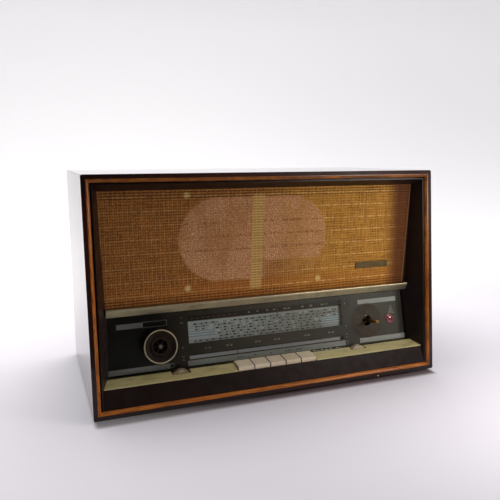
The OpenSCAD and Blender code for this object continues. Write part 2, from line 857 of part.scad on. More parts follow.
// The knob's middle is an open hub with six ribs: its pressed-in cap is gone
module volume_knob() color(black) in_dial(-shaft_x, shaft_v) difference() {
    rim_r = knob_d / 2 - ring_w;
    hollow_r = hollow_d / 2;
    union() {
        turned() difference() {
            polygon([[shaft_d / 2, knob_low], [rim_r - 0.2, knob_low], [rim_r, knob_low + 0.6],
                [rim_r, knob_h + knob_crown], [rim_r - 1, knob_h + knob_crown],
                [rim_r - 1 - knob_slope, knob_h - knob_dish], [hollow_r + hub_wall[1], knob_h - knob_dish],
                [hollow_r + hub_wall[0], knob_h - hub_lip], [hollow_r, knob_h - hub_lip],
                [hollow_r, knob_low + hub_floor], [shaft_d / 2, knob_low + hub_floor]]);
            // Hollow moulded from behind
            translate([rim_r - knob_hollow[0], -past]) square([knob_hollow[1], knob_h - 2]);
        }
        turned() translate([shaft_d / 2, knob_low]) square([tube_wall, knob_h - 5]);
        for (a = [0:60:300]) rotate([0, a, 0])
            block([shaft_d / 2 + 2, hollow_r + 0.5], [knob_low - knob_h, -2 * knob_low], around(0, star_t));
    }
    rod_y_axis(shaft_d, [-knob_h - 3, 0]);
}

module knob_ring() color(champagne) in_dial(-shaft_x, shaft_v) turned() {
    r = knob_d / 2;
    rim_r = r - ring_w;
    top = knob_h + knob_crown;
    polygon([
        [rim_r, knob_low + 0.6],
        [r - 0.5, knob_low + 0.6],
        [r, knob_low + 1.6],
        [r, top - 0.6],
        [r - 0.8, top + 0.8],
        [rim_r + 0.6, top + 0.8],
        [rim_r, top]]);
}

// A notched wheel on its own shaft
module tone_wheel() {
    translate([0, wheel_y + wheel_t, 0]) rotate([90, 0, 0]) linear_extrude(wheel_t) difference() {
        circle(d = wheel_d);
        for (i = [1:wheel_notches]) rotate(i * 360 / wheel_notches) translate([wheel_d / 2, 0])
            circle(r = wheel_notch_r, $fn = 6);
    }
    rod_y_axis(shaft_d, [wheel_y + wheel_t, pot_y + tone_hole - past]);
}
module tone_wheel_left() color(ivory) stand() translate([-wheel_x, 0, wheel_z]) tone_wheel();
module tone_wheel_right() color(ivory) stand() translate([wheel_x, 0, wheel_z]) tone_wheel();

// Tone controls, each on a bent bracket that stands on the cabinet floor
module tone_pots() color(pertinax) stand() mirrored() translate([wheel_x, 0, 0]) difference() {
    union() {
        translate([0, 0, wheel_z]) rod_y_axis(tone_pot_d, [pot_y, pot_y + tone_pot_deep]);
        block(around(0, bracket[0]), [pot_y - sheet, pot_y], [board, wheel_z + bracket[2]]);
        block(around(0, bracket[0]), [pot_y - sheet, pot_y + bracket[1]], [board, board + sheet]);
    }
    translate([0, 0, wheel_z]) rod_y_axis(shaft_d + 2 * run, [pot_y - sheet - past, pot_y + tone_hole]);
}

// A key: moulded cap with a rounded front, an arm below the dial and a hub on the rod
module key() color(ivory) stand() difference() {
    arm = around(0, arm_w);
    roof = key_skirt + key_roof;
    union() {
        along_x(key_pitch - key_gap) {
            polygon([
                [key_front, key_skirt],
                [key_front, key_top - key_round],
                [key_front + key_round, key_top],
                [key_rear, key_top + key_rise],
                [key_rear, roof],
                [key_front + key_wall + key_round, roof],
                [key_front + key_wall, key_skirt]]);
            translate([key_front + key_round, key_top - key_round]) circle(r = key_round);
        }
        block(arm, [key_front + key_wall / 2, rod_y - hub_d / 2 + 1], [arm_z, arm_z + arm_t]);
        block(arm, [key_front + key_wall, key_rear - 4], [arm_z, roof + 1]);
        block(arm, [rod_y - hub_d, rod_y], [arm_z, rod_z]);
        translate([0, rod_y, rod_z]) rod_x(hub_d, hub_w);
    }
    translate([0, rod_y, rod_z]) rod_x(rod_d + 2 * run, big);
}
function key_x(i) = (i - (key_count + 1) / 2) * key_pitch;
module key_at(i) translate([key_x(i), 0, 0]) key();
module key_1() key_at(1);
module key_2() key_at(2);
module key_3() key_at(3);
module key_4() key_at(4);
module key_5() key_at(5);

module key_frame() color(steel) stand() difference() {
    union() {
        high = [board, rod_z + frame_rise];
        wide = [-frame_half, frame_half];
        mirrored() block([frame_half, frame_half + sheet], [key_frame_y, chassis_y], high);
        block(wide, [key_frame_y, chassis_y], [board, board + sheet]);
        block(wide, [chassis_y - sheet, chassis_y], high);
    }
    translate([0, rod_y, rod_z]) rod_x(rod_d, big);
}

module key_rod() color(steel) stand() translate([0, rod_y, rod_z])
    rod_x(rod_d, 2 * (frame_half + sheet + rod_past));

// Return springs on the rod, one beside each hub, with a leg under the arm and one on the frame
module key_springs() color(iron) stand() for (i = [1:key_count])
    translate([key_x(i) + hub_w / 2 + spring_at, rod_y, rod_z]) {
        drop = arm_z - rod_z - key_dip - loose;
        left = [-leg_x, wire - leg_x];
        right = [leg_x - wire, leg_x];
        down = [-leg_y, wire - leg_y];
        difference() {
            union() {
                rod_x(rod_d + spring_d, spring_len);
                block(left, down, [drop - wire, 0]);
                block(right, down, [board + sheet - rod_z, 0]);
            }
            rod_x(rod_d, spring_len + past);
        }
        block(left, [-leg_at, wire - leg_y], [drop - wire, drop]);
        block([-hub_w / 2 - spring_at, wire - leg_x], [-leg_at, wire - leg_at], [drop - wire, drop]);
    }

module chassis_points() for (x = [-1, 1], y = [chassis_y + bolt_in[1], chassis_rear - bolt_in[2]])
    translate([x * (chassis_half - bolt_in[0]), y, 0]) children();

function tube_x(i) = chassis_half - tube_in - i * tube_pitch;
tube_places = [for (i = [0:3]) [tube_x(i), chassis_rear - (i == 0 ? tube_last : tube_rear)]];
socket_places = [for (s = [-1, 1], t = [-1, 1]) s * socket_pair + t * socket_step / 2];

// Folded sheet with a lip inside each corner for the bolts
module chassis() color(can_metal) stand() difference() {
    union() {
        difference() {
            block([-chassis_half, chassis_half], [chassis_y, chassis_rear], [board, chassis_z]);
            block([sheet - chassis_half, chassis_half - sheet], [chassis_y + sheet, chassis_rear - sheet],
                [board - past, chassis_z - sheet]);
        }
        chassis_points() block(around(0, lip_w), [-bolt_in[1] + 1, bolt_in[2] - 1], [board, board + sheet]);
    }
    chassis_points() cylinder(d = bolt_d, h = board + sheet + past);
    for (p = tube_places) translate([p[0], p[1], chassis_z - socket_up])
        cylinder(d = tube_hole_d, h = 2 * socket_up);
    for (x = socket_places) translate([x, 0, socket_z]) rod_y_axis(socket_d, [chassis_rear - socket_in, big]);
}

module chassis_bolts() color(steel) stand() chassis_points() {
    translate([0, 0, 1]) cylinder(d = bolt_head_d, h = bolt_head_h, $fn = 6);
    translate([0, 0, 1]) cylinder(d = bolt_d, h = board + sheet + nut[1] + bolt_past);
    translate([0, 0, board + sheet]) cylinder(d = nut[0], h = nut[1], $fn = 6);
}

// Stack of laminations with a wound bobbin through its two windows
window_share = [0.25, 0.18, 0.62];
stack_share = 0.56;
module transformer(size) {
    w = size[0];
    d = size[1];
    h = size[2];
    bobbin_h = h * (window_share[2] - 0.02);
    leg = w * (2 * window_share[0] - window_share[1]);
    color(iron) difference() {
        block(around(0, w), around(0, d * stack_share), [0, h]);
        for (s = [-1, 1]) translate([s * w * window_share[0], 0, h / 2])
            cube([w * window_share[1], d, h * window_share[2]], center = true);
    }
    color(bobbin) difference() {
        translate([0, 0, h / 2]) cube([w * 2 / 3, d, bobbin_h], center = true);
        translate([0, 0, h / 2]) cube([leg, d * stack_share, h], center = true);
    }
}
module on_chassis(x, y) stand() translate([x, y, chassis_z]) children();
module power_transformer() on_chassis(power_in - chassis_half, chassis_rear - power_rear)
    transformer(power_size);
module output_transformer() on_chassis(output_in - chassis_half, chassis_y + output_front)
    transformer(output_size);

module filter_capacitor() color(can_metal) on_chassis(filter_in - chassis_half, chassis_rear - filter_rear) {
    cylinder(d = filter_size[0], h = filter_size[1]);
    cylinder(d = filter_rim[0], h = filter_rim[1]);
    translate([0, 0, filter_size[1]]) cylinder(d = filter_top[0], h = filter_top[1]);
}

module tube_sockets() color(moulded) stand() for (p = tube_places)
    translate([p[0], p[1], chassis_z - socket_base]) difference() {
        union() {
            cylinder(d = tube_hole_d, h = socket_base + socket_up);
            translate([0, 0, socket_base]) cylinder(d = socket_rim_d, h = socket_up);
        }
        translate([0, 0, socket_base + 1]) cylinder(d = socket_bore_d, h = socket_up);
    }

// A glass tube with a domed top and its sealed tip, standing in its socket
module glass_tube(h) {
    dome = tube_d * 0.35;
    tip = [7, 1.6, 6];
    translate([0, 0, 1 - socket_up]) cylinder(d = socket_bore_d, h = socket_up);
    cylinder(d = tube_d, h = h - dome);
    translate([0, 0, h - dome]) intersection() {
        sphere(d = tube_d);
        cylinder(d = tube_d, h = dome);
    }
    translate([0, 0, h - dome / 7]) cylinder(d1 = tip[0], d2 = tip[1], h = tip[2], $fn = 24);
}
module tube_at(i, h) stand() translate([tube_places[i][0], tube_places[i][1], tube_top]) glass_tube(h);
module signal_tubes() color(clear) for (i = [0:2]) tube_at(i, tube_h);
module output_tube() color(clear) tube_at(3, output_h);

module if_cans() color(can_metal) for (i = [0, 1])
    on_chassis(tube_x(i + 0.5), chassis_rear - can_rear[1 - i]) difference() {
        block(around(0, can_size[0]), around(0, can_size[1]), [0, can_size[2]]);
        translate([0, 0, can_size[2] - can_core[1]]) cylinder(d = can_core[0], h = can_core[1] + past);
        // Pressed grooves in the side walls
        mirrored() block([can_size[0] / 2 - 1, can_size[0]], around(0, can_groove[0]), can_groove[1]);
    }

// Ferrite rod with two coils, on two stands
module ferrite_antenna() color(black) on_chassis(chassis_half - ferrite_in, chassis_rear - ferrite_rear)
    translate([0, 0, ferrite_up]) {
        rod_x(ferrite_d, ferrite_len);
        for (x = coil_at) translate([x, 0, 0]) rod_x(coil_d, coil_len);
        mirrored() block(around(stand_at, stand_size[0]), around(0, stand_size[1]),
            [-ferrite_up, stand_size[2]]);
    }

module rear_sockets() color(pertinax) stand() difference() {
    front = chassis_rear - socket_in;
    back = chassis_rear + socket_plate[1];
    union() {
        mirrored() block(around(socket_pair, socket_plate[0]), [chassis_rear, back],
            around(socket_z, socket_plate[2]));
        for (x = socket_places) translate([x, 0, socket_z]) rod_y_axis(socket_d, [front, back + 1]);
    }
    for (x = socket_places) translate([x, 0, socket_z]) rod_y_axis(plug_d, [front - past, big]);
}

// Pressed speaker basket: an oval flange with four lugs, a round back and four wide ribs
module speaker_basket() color(iron) speaker_place(basket_y) difference() {
    turn_x = (flange_w - flange_h) / 2;
    neck = [flange_h / 2 - flange_band / 2, norm([bolt_x - turn_x, bolt_z])];
    union() {
        difference() {
            union() {
                oval(flange_w, flange_h, basket_sheet);
                speaker_points() rod_y_axis(lug_d, [0, basket_sheet]);
                // Necks of the lugs, pointing away from the middle of each round end
                for (a = [-1, 1], b = [-1, 1]) translate([a * turn_x, 0, 0])
                    rotate([0, -b * atan2(bolt_z, a * (bolt_x - turn_x)), 0])
                        block(neck, [0, basket_sheet], around(0, neck_w));
            }
            translate([0, -past, 0])
                oval(flange_w - 2 * flange_band, flange_h - 2 * flange_band, basket_sheet + 2 * past);
        }
        difference() {
            rod_y_axis(2 * (cone_r + back_rim), [basket_h - basket_sheet, basket_h]);
            rod_y_axis(2 * coil_r, [basket_h - basket_sheet - past, basket_h + past]);
        }
        for (turn = [0, 180]) {
            rotate([0, turn, 0]) rib(flange_w / 2 - flange_band, rib_w[0]);
            rotate([0, turn + 90, 0]) rib(flange_h / 2 - flange_band, rib_w[1]);
        }
    }
    speaker_points() rod_y_axis(speaker_bolt_d, [-past, basket_sheet + past]);
}

// A rib of the basket, from the flange to the round back
module rib(reach, wide) translate([0, 0, -wide / 2]) linear_extrude(wide) polygon([
    [reach + rib_at[0], 0],
    [reach + rib_at[1], 0],
    [reach + rib_at[1], rib_foot],
    [cone_r + rib_at[0] + 2, basket_h],
    [cone_r - 2, basket_h],
    [cone_r - 2, basket_h - basket_sheet],
    [reach + rib_at[0], rib_foot + 0.2]]);

module speaker_cone() color(black) speaker_place(basket_y + cone_y) difference() {
    w = flange_w - 2 * flange_band - 2 * loose;
    h = flange_h - 2 * flange_band - 2 * loose;
    deep = basket_h - cone_gap;
    hull() {
        oval(w, h, 1, $fn = 32);
        translate([0, deep, 0]) rod_y_axis(2 * coil_r, [0, 1], $fn = 32);
    }
    hull() {
        translate([0, -past, 0]) oval(w - 2 * cone_t, h - 2 * cone_t, 1, $fn = 32);
        translate([0, deep - 2, 0]) rod_y_axis(2 * (coil_r - cone_t), [0, 1], $fn = 32);
    }
}

// Magnet between its two plates
module speaker_magnet() color(iron) speaker_place(basket_y + basket_h) {
    plate_d = magnet_d - magnet_step;
    rear = magnet_t[0] + magnet_t[1];
    rod_y_axis(plate_d, [0, magnet_t[0]]);
    rod_y_axis(magnet_d, [magnet_t[0], rear]);
    rod_y_axis(plate_d, [rear, rear + magnet_t[2]]);
}

module speaker_bolts() color(steel) speaker_place(0) speaker_points() {
    back = basket_y + basket_sheet;
    rod_y_axis(speaker_bolt_d, [grille_y + cloth_t, back + speaker_nut[1] + bolt_past]);
    rod_y_axis(speaker_nut[0], [back, back + speaker_nut[1]]);
}

// Perforated back, with cut-outs at the sockets
module back_cover() color(pertinax) stand() difference() {
    through = [cover_y - past, cab_d];
    columns = floor((inner_x - slot_edge - slot[0] / 2) / slot_pitch[0]);
    rows = floor((inner_top - slot_edge - slot_low) / slot_pitch[1]);
    block([loose - inner_x, inner_x - loose], [cover_y, cover_y + cover_t],
        [board + loose, inner_top - loose]);
    for (x = [-columns:columns], z = [0:rows])
        translate([x * slot_pitch[0], cover_y - past, slot_low + z * slot_pitch[1]]) vent();
    for (x = [2 - columns:columns - 2]) translate([x * slot_pitch[0], cover_y - past, short_row]) vent();
    mirrored() block(around(socket_pair, socket_cut[0]), through, around(socket_z, socket_cut[1]));
    back_points() rod_y_axis(screw_d, through);
    translate([grommet_x, 0, grommet_z]) rod_y_axis(grommet_d[0], through);
}
module vent() oval(slot[0], slot[1], cover_t + 2 * past);

back_rows = [board + screw_in[1], cab_h / 2, inner_top - screw_in[1]];
module back_points() for (x = [-1, 1], z = back_rows)
    translate([x * (inner_x - screw_in[0]), 0, z]) children();

module back_screws() color(steel) stand() back_points() {
    rod_y_axis(screw_d, [cover_y + 1 - screw_len, cover_y + cover_t]);
    rod_y_axis(screw_head[0], [cover_y + cover_t, cover_y + cover_t + screw_head[1]]);
}

module cord_grommet() color(black) stand() translate([grommet_x, 0, grommet_z]) difference() {
    union() {
        rod_y_axis(grommet_d[0], [cover_y, cover_y + cover_t]);
        rod_y_axis(grommet_d[1], [cover_y - grommet_lip, cover_y]);
        rod_y_axis(grommet_d[1], [cover_y + cover_t, cover_y + cover_t + grommet_lip]);
    }
    rod_y_axis(cord_d, [cover_y - grommet_lip - past, cab_d]);
}

module feet() color(black) for (x = [-1, 1], y = [-1, 1])
    translate([x * (cab_w / 2 - foot_in[0]), y * (cab_d / 2 - foot_in[1]), 0])
        cylinder(d = foot_d, h = foot_h);

cabinet();
inlay_bead();
front_surround();
bottom_rail();
baffle_board();
grille_cloth();
grille_bar();
badge_plate();
dial_glass();
scale_backing();
dial_strips();
magic_eye();
pilot_lens();
dial_lamps();
dial_frame();
pointer_rails();
am_pointer();
fm_pointer();
tuning_shaft();
flywheel();
am_drum();
fm_drum();
capacitor_frame();
capacitor_rotor();
fm_tuner();
volume_pot();
volume_shaft();
volume_knob();
knob_ring();
tone_wheel_left();
tone_wheel_right();
tone_pots();
ledge();
key_1();
key_2();
key_3();
key_4();
key_5();
key_frame();
key_rod();
key_springs();
chassis();
chassis_bolts();
power_transformer();
output_transformer();
filter_capacitor();
tube_sockets();
signal_tubes();
output_tube();
if_cans();
ferrite_antenna();
rear_sockets();
speaker_basket();
speaker_cone();
speaker_magnet();
speaker_bolts();
back_cover();
back_screws();
cord_grommet();
feet();
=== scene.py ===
# %% [markdown]
# # A table radio with tubes, dressed in Blender
# The solids of the radio come from its CAD model and stay where they are. Here they get their finishes,
# the soft and printed pieces are added, and a camera looks at the set from its front left. Every length is
# in metres. X runs along the front, Y to the back and Z up, with the floor at zero.

# %% Load the frame
import math
import random

import bmesh
import bpy
import numpy as np
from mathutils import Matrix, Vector


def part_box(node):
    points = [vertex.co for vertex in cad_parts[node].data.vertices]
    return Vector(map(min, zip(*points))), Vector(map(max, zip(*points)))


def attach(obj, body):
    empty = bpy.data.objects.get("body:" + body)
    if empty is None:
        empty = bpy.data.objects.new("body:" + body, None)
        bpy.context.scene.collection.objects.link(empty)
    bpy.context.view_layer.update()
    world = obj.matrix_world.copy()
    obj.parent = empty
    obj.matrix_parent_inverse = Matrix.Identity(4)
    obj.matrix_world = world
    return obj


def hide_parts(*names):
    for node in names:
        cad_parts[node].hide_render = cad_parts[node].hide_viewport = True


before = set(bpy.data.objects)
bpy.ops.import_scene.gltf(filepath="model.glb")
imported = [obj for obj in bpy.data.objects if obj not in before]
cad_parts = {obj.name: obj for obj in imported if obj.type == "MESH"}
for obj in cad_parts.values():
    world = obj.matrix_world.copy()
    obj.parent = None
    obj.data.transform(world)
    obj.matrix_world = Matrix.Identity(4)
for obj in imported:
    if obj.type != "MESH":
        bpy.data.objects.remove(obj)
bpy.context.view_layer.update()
MM = 0.001


def show(thing):
    bpy.context.scene.collection.objects.link(thing)


# %% [markdown]
# ## Camera
# The eye stands a little above the top of the set and to its left, about a metre away, and looks to the
# right and slightly down. Where the verticals and the long edges of the cabinet run gives the turn, the tilt
# and the lens. A lens of 41 mm on a 36 mm wide square picture shows the set as large as a person standing
# in front of a shelf would see it.

# %% Place the camera
eye = Vector((-0.3669, -0.9739, 0.3869))
turn, tilt, lean = math.radians(21.006), math.radians(9.32), math.radians(0.109)
lens_data = bpy.data.cameras.new("front_left")
lens_data.lens = 41.17
lens_data.sensor_width = 36.0
camera = bpy.data.objects.new("front_left", lens_data)
camera.location = eye
camera.rotation_mode = "XYZ"
camera.rotation_euler = (math.pi / 2 - tilt, lean, -turn)
show(camera)
bpy.context.scene.camera = camera
front_middle = Vector((0, -0.16, 0.18))
print("camera is", round((eye - front_middle).length, 3), "m from the middle of the front")

# %% [markdown]
# ## Colours and a helper for finishes
# A colour is easiest to judge as it looks on a screen, while the shader wants it in linear light, so one
# small function turns one into the other. Each finish is a Principled shader with a few nodes in front of
# it. The helper below reads like a recipe: soft spots of a size in millimetres, tones over those spots,
# a dulling and a relief.

# %% Colours
def tone(r, g, b):
    """A colour as it looks on a screen, 0 to 255, in linear light."""
    def linear(c):
        c /= 255
        return c / 12.92 if c <= 0.04045 else ((c + 0.055) / 1.055) ** 2.4
    return (linear(r), linear(g), linear(b), 1.0)


# %% The finish helper
class Finish:
    """A named finish: one Principled shader, and the nodes that vary it over the surface."""

    def __init__(self, name, roughness, **fixed):
        self.material = bpy.data.materials.new(name)
        self.material.use_nodes = True
        self.tree = self.material.node_tree
        self.shader = self.tree.nodes["Principled BSDF"]
        self.put(tone(128, 128, 128), "Base Color")
        self.put(roughness, "Roughness")
        for socket, value in fixed.items():
            self.put(value, socket.replace("_", " "))
        self.place = self.node("ShaderNodeTexCoord").outputs["Object"]
        self.normal = None

    def node(self, kind, **settings):
        made = self.tree.nodes.new(kind)
        for name, value in settings.items():
            setattr(made, name, value)
        return made

    def put(self, value, socket):
        """Sets a socket to a value, or links another node's output to it."""
        if isinstance(socket, str):
            socket = self.shader.inputs[socket]
        if isinstance(value, bpy.types.NodeSocket):
            self.tree.links.new(value, socket)
        else:
            socket.default_value = value

    def sum(self, operation, a, b=0.0, c=0.0):
        """One step of arithmetic."""
        made = self.node("ShaderNodeMath", operation=operation)
        for value, socket in zip((a, b, c), made.inputs):
            self.put(value, socket)
        return made.outputs[0]

    def times(self, a, b):
        return self.sum("MULTIPLY", a, b)

    def minus(self, a, b):
        return self.sum("SUBTRACT", a, b)

    def axes(self):
        """The place on the surface as x, y and z in millimetres."""
        split = self.node("ShaderNodeSeparateXYZ")
        self.put(self.place, split.inputs[0])
        return [self.times(o, 1 / MM) for o in split.outputs]

    def spots(self, size, detail=3.0, rough=0.55, shift=0.0):
        """Soft random spots; size is in millimetres, one number or one for each axis."""
        if not isinstance(size, tuple):
            size = (size, size, size)
        spread = self.node("ShaderNodeMapping")
        spread.inputs["Scale"].default_value = [1 / (s * MM) for s in size]
        spread.inputs["Location"].default_value = (shift, shift * 0.7, shift * 1.3)
        self.put(self.place, spread.inputs["Vector"])
        cloud = self.node("ShaderNodeTexNoise")
        cloud.inputs["Scale"].default_value = 1.0
        cloud.inputs["Detail"].default_value = detail
        cloud.inputs["Roughness"].default_value = rough
        self.put(spread.outputs[0], cloud.inputs["Vector"])
        return cloud.outputs["Fac"]

    def remap(self, value, low=0.3, high=0.7, to_low=0.0, to_high=1.0):
        """Turns low..high into to_low..to_high with soft ends, and holds it there. Spots lie mostly between
        0.3 and 0.7."""
        made = self.node("ShaderNodeMapRange", interpolation_type="SMOOTHSTEP")
        for v, socket in zip((value, low, high, to_low, to_high), made.inputs):
            self.put(v, socket)
        return made.outputs[0]

    def mix(self, share, a, b):
        """Colour a where share is 0 and colour b where it is 1."""
        made = self.node("ShaderNodeMix", data_type="RGBA")
        for value, i in ((share, 0), (a, 6), (b, 7)):
            self.put(tone(*value) if isinstance(value, tuple) and len(value) == 3 else value, made.inputs[i])
        return made.outputs[2]

    def wave(self, along, pitch, start):
        """A cosine along one direction, 1 on a thread and 0 between two threads."""
        turns = self.times(self.minus(along, start), 2 * math.pi / pitch)
        return self.sum("MULTIPLY_ADD", self.sum("COSINE", turns), 0.5, 0.5)

    def band(self, along, middle, half, soft):
        """1 within half of the middle, falling to 0 over the soft width."""
        off = self.sum("ABSOLUTE", self.minus(along, middle))
        return self.remap(off, half - soft / 2, half + soft / 2, 1.0, 0.0)

    def distance(self, a, b):
        """How far a place is from a middle, from its offsets along two directions."""
        return self.sum("SQRT", self.sum("ADD", self.times(a, a), self.times(b, b)))

    def relief(self, height, depth, strength):
        """Adds a relief to those before it; depth is how deep it is in millimetres."""
        made = self.node("ShaderNodeBump")
        made.inputs["Strength"].default_value = strength
        made.inputs["Distance"].default_value = depth * MM
        self.put(height, made.inputs["Height"])
        if self.normal is not None:
            self.put(self.normal, made.inputs["Normal"])
        self.normal = made.outputs[0]
        self.put(self.normal, "Normal")

    def rough(self, value, least, most):
        """Varies the roughness with soft spots."""
        self.put(self.remap(value, to_low=least, to_high=most), "Roughness")

    def colour(self, value):
        self.put(tone(*value) if isinstance(value, tuple) else value, "Base Color")


# %% [markdown]
# ## Floor and light
# The set stands on a plain pale floor that rises into a pale wall behind it, like a roll of paper in a
# studio. The tent round it is bright at the back, at the sides and above. The room in front is dark on the
# left and dim on the right: that is why the lacquered front looks nearly black while the side and the top,
# seen at a grazing angle, mirror the white tent. A large soft light hangs above and a little behind the
# set, so the front stands in its own shade, and a small one at the front right lifts that end.

# %% Floor that rises into a wall
def curved_floor():
    """The paper from its folded near edge to the top of the wall; all lengths are in metres."""
    half_width, near, bend, wall_top = 5.0, -0.62, 1.5, 4.0
    fold, turn_r, steps = -0.03, 1.2, 24
    profile = [(near, fold), (near, 0.0), (0.0, 0.0), (bend, 0.0)]
    for i in range(1, steps + 1):
        a = math.pi / 2 * i / steps
        profile.append((bend + turn_r * math.sin(a), turn_r * (1 - math.cos(a))))
    profile.append((bend + turn_r, wall_top))
    shape = bmesh.new()
    rows = [[shape.verts.new((x, y, z)) for y, z in profile] for x in (-half_width, half_width)]
    for i in range(len(profile) - 1):
        face = shape.faces.new((rows[0][i], rows[1][i], rows[1][i + 1], rows[0][i + 1]))
        face.smooth = True
    mesh = bpy.data.meshes.new("floor")
    shape.to_mesh(mesh)
    shape.free()
    return bpy.data.objects.new("floor", mesh)


paper = Finish("floor_paper", roughness=0.75)
right, far, _ = paper.axes()
# The paper glows brighter with the distance from a place right of the set's middle: painted shade round the
# set
shade_x, squeeze = 120.0, 1.4
round_it = paper.distance(paper.times(paper.minus(right, shade_x), squeeze), far)
cloudy = paper.spots(900, detail=2)
# Near the set the paper is painted darker and further back paler: painted shade in front of the set
painted_shade_near_tone = paper.mix(cloudy, (212, 209, 218), (220, 218, 227))
pale_floor = paper.mix(paper.remap(far, -150, 900), painted_shade_near_tone, (240, 239, 243))
# Under the set, and just before it, the floor is painted dark and a little red: a painted contact shadow
under_length, under_depth = 298, 176
painted_contact_shadow = paper.times(paper.band(right, 0, under_length, 10), paper.band(far, 0, under_depth, 14))
paper.colour(paper.mix(paper.times(painted_contact_shadow, 0.9), pale_floor, (74, 44, 46)))
# The paper glows, more the further it lies from the set and towards the back: painted light
paper.put(tone(255, 254, 255), "Emission Color")
paper.put(paper.sum("ADD", paper.remap(round_it, 200, 900, 0.0, 0.19), paper.remap(far, 0, 2200, 0.0, 0.26)),
          "Emission Strength")
paper.relief(paper.spots(3.0), 0.05, 0.3)
floor = curved_floor()
floor.data.materials.append(paper.material)
show(floor)

# %% Tent light all round
world = bpy.data.worlds.new("tent")
bpy.context.scene.world = world
world.use_nodes = True
sky = world.node_tree
sky.nodes.clear()
way = sky.nodes.new("ShaderNodeTexCoord")
split = sky.nodes.new("ShaderNodeSeparateXYZ")
sky.links.new(way.outputs["Generated"], split.inputs[0])


def ramp(value, low, high, to_low, to_high):
    made = sky.nodes.new("ShaderNodeMapRange")
    made.interpolation_type = "SMOOTHSTEP"
    for v, i in ((low, 1), (high, 2), (to_low, 3), (to_high, 4)):
        made.inputs[i].default_value = v
    sky.links.new(value, made.inputs[0])
    return made.outputs[0]


def glow(colour, strength):
    made = sky.nodes.new("ShaderNodeBackground")
    made.inputs["Color"].default_value = tone(*colour)
    if isinstance(strength, float):
        made.inputs["Strength"].default_value = strength
    else:
        sky.links.new(strength, made.inputs["Strength"])
    return made.outputs[0]


def blend(share, a, b):
    made = sky.nodes.new("ShaderNodeMixShader")
    for value, socket in zip((share, a, b), made.inputs):
        sky.links.new(value, socket)
    return made.outputs[0]


warm_dusk, white_paper = (255, 240, 224), (250, 250, 255)
room = glow(warm_dusk, ramp(split.outputs["X"], 0.12, 0.55, 0.015, 0.22))
tent = glow(white_paper, 0.95)
light = blend(ramp(split.outputs["Y"], -0.35, 0.1, 0.0, 1.0), room, tent)
light = blend(ramp(split.outputs["Z"], 0.5, 0.9, 0.0, 0.6), light, tent)
# The camera itself sees one even pale tone behind the floor
seen = sky.nodes.new("ShaderNodeLightPath")
out = sky.nodes.new("ShaderNodeOutputWorld")
sky.links.new(blend(seen.outputs["Is Camera Ray"], light, glow(white_paper, 0.90)), out.inputs["Surface"])


# %% Lamps of the studio
def soft_light(name, place, aim, size, watts):
    """A warm white rectangle of light; place, aim and size are in metres."""
    lamp = bpy.data.lights.new(name, "AREA")
    lamp.shape = "RECTANGLE"
    lamp.size, lamp.size_y = size
    lamp.energy = watts
    lamp.color = tone(255, 250, 243)[:3]
    held = bpy.data.objects.new(name, lamp)
    held.location = place
    held.rotation_mode = "QUATERNION"
    held.rotation_quaternion = (Vector(aim) - Vector(place)).to_track_quat("-Z", "Y")
    held.visible_camera = False
    show(held)


soft_light("right_front", (0.47, -0.62, 0.335), (0.05, -0.1, 0.2), (0.26, 0.14), 2.05)
soft_light("above_behind", (-0.1, 0.7, 1.9), (0.0, 0.1, 0.0), (2.2, 1.5), 26)
bpy.context.scene.view_settings.view_transform = "Standard"

# %% [markdown]
# ## Wood
# The cabinet is board with a dark mahogany veneer under many coats of clear lacquer. Lacquer is a coat over
# the wood, so the wood keeps its own dull shine and the coat adds the mirror. The pores run along the
# boards: they are long spots, narrow across the grain. The inside of the cabinet was never lacquered and
# shows the bare board. The golden bead is a lighter wood, let into the front edge and mitred at its corners.

# %% Lacquered mahogany, bare inside
def lacquered_wood():
    f = Finish("lacquered_mahogany", roughness=0.42, Coat_Weight=1.0, Coat_Roughness=0.035, Coat_IOR=1.26,
               Specular_IOR_Level=0.15)
    x, y, z = f.axes()
    figure = f.remap(f.spots((420, 7, 420), detail=4), 0.35, 0.68)
    pores = f.remap(f.spots((60, 0.55, 60), detail=2), 0.56, 0.72)
    veneer = f.mix(figure, (28, 9, 7), (52, 18, 13))
    veneer = f.mix(f.times(pores, 0.7), veneer, (12, 6, 6))
    # The boards are bare inside, within a box that reaches 0.4 mm into them
    half, front, low, high = 288.4, -138, 16.6, 350.4
    within = f.times(f.sum("LESS_THAN", f.sum("ABSOLUTE", x), half),
                   f.sum("GREATER_THAN", y, front))
    level = f.times(f.sum("GREATER_THAN", z, low), f.sum("LESS_THAN", z, high))
    within = f.times(within, level)
    bare = f.mix(f.remap(f.spots((160, 4, 160), detail=5)), (150, 112, 72), (188, 150, 104))
    # One small chip in the lower front edge shows fresh wood
    chip_x, chip_z, chip_ends = 184.0, 6.5, -150
    chip = f.remap(f.distance(f.minus(x, chip_x), f.minus(z, chip_z)), 1.0, 1.8, 1.0, 0.0)
    veneer = f.mix(f.times(chip, f.sum("LESS_THAN", y, chip_ends)), veneer, (222, 160, 74))
    f.colour(f.mix(within, veneer, bare))
    f.put(f.remap(f.sum("ADD", f.spots(35, detail=5), f.times(within, 0.4)), 0.3, 1.0, 0.36, 0.7),
          "Roughness")
    f.relief(f.spots(28, detail=1), 0.06, 0.35)
    f.relief(pores, 0.03, 0.25)
    return f.material


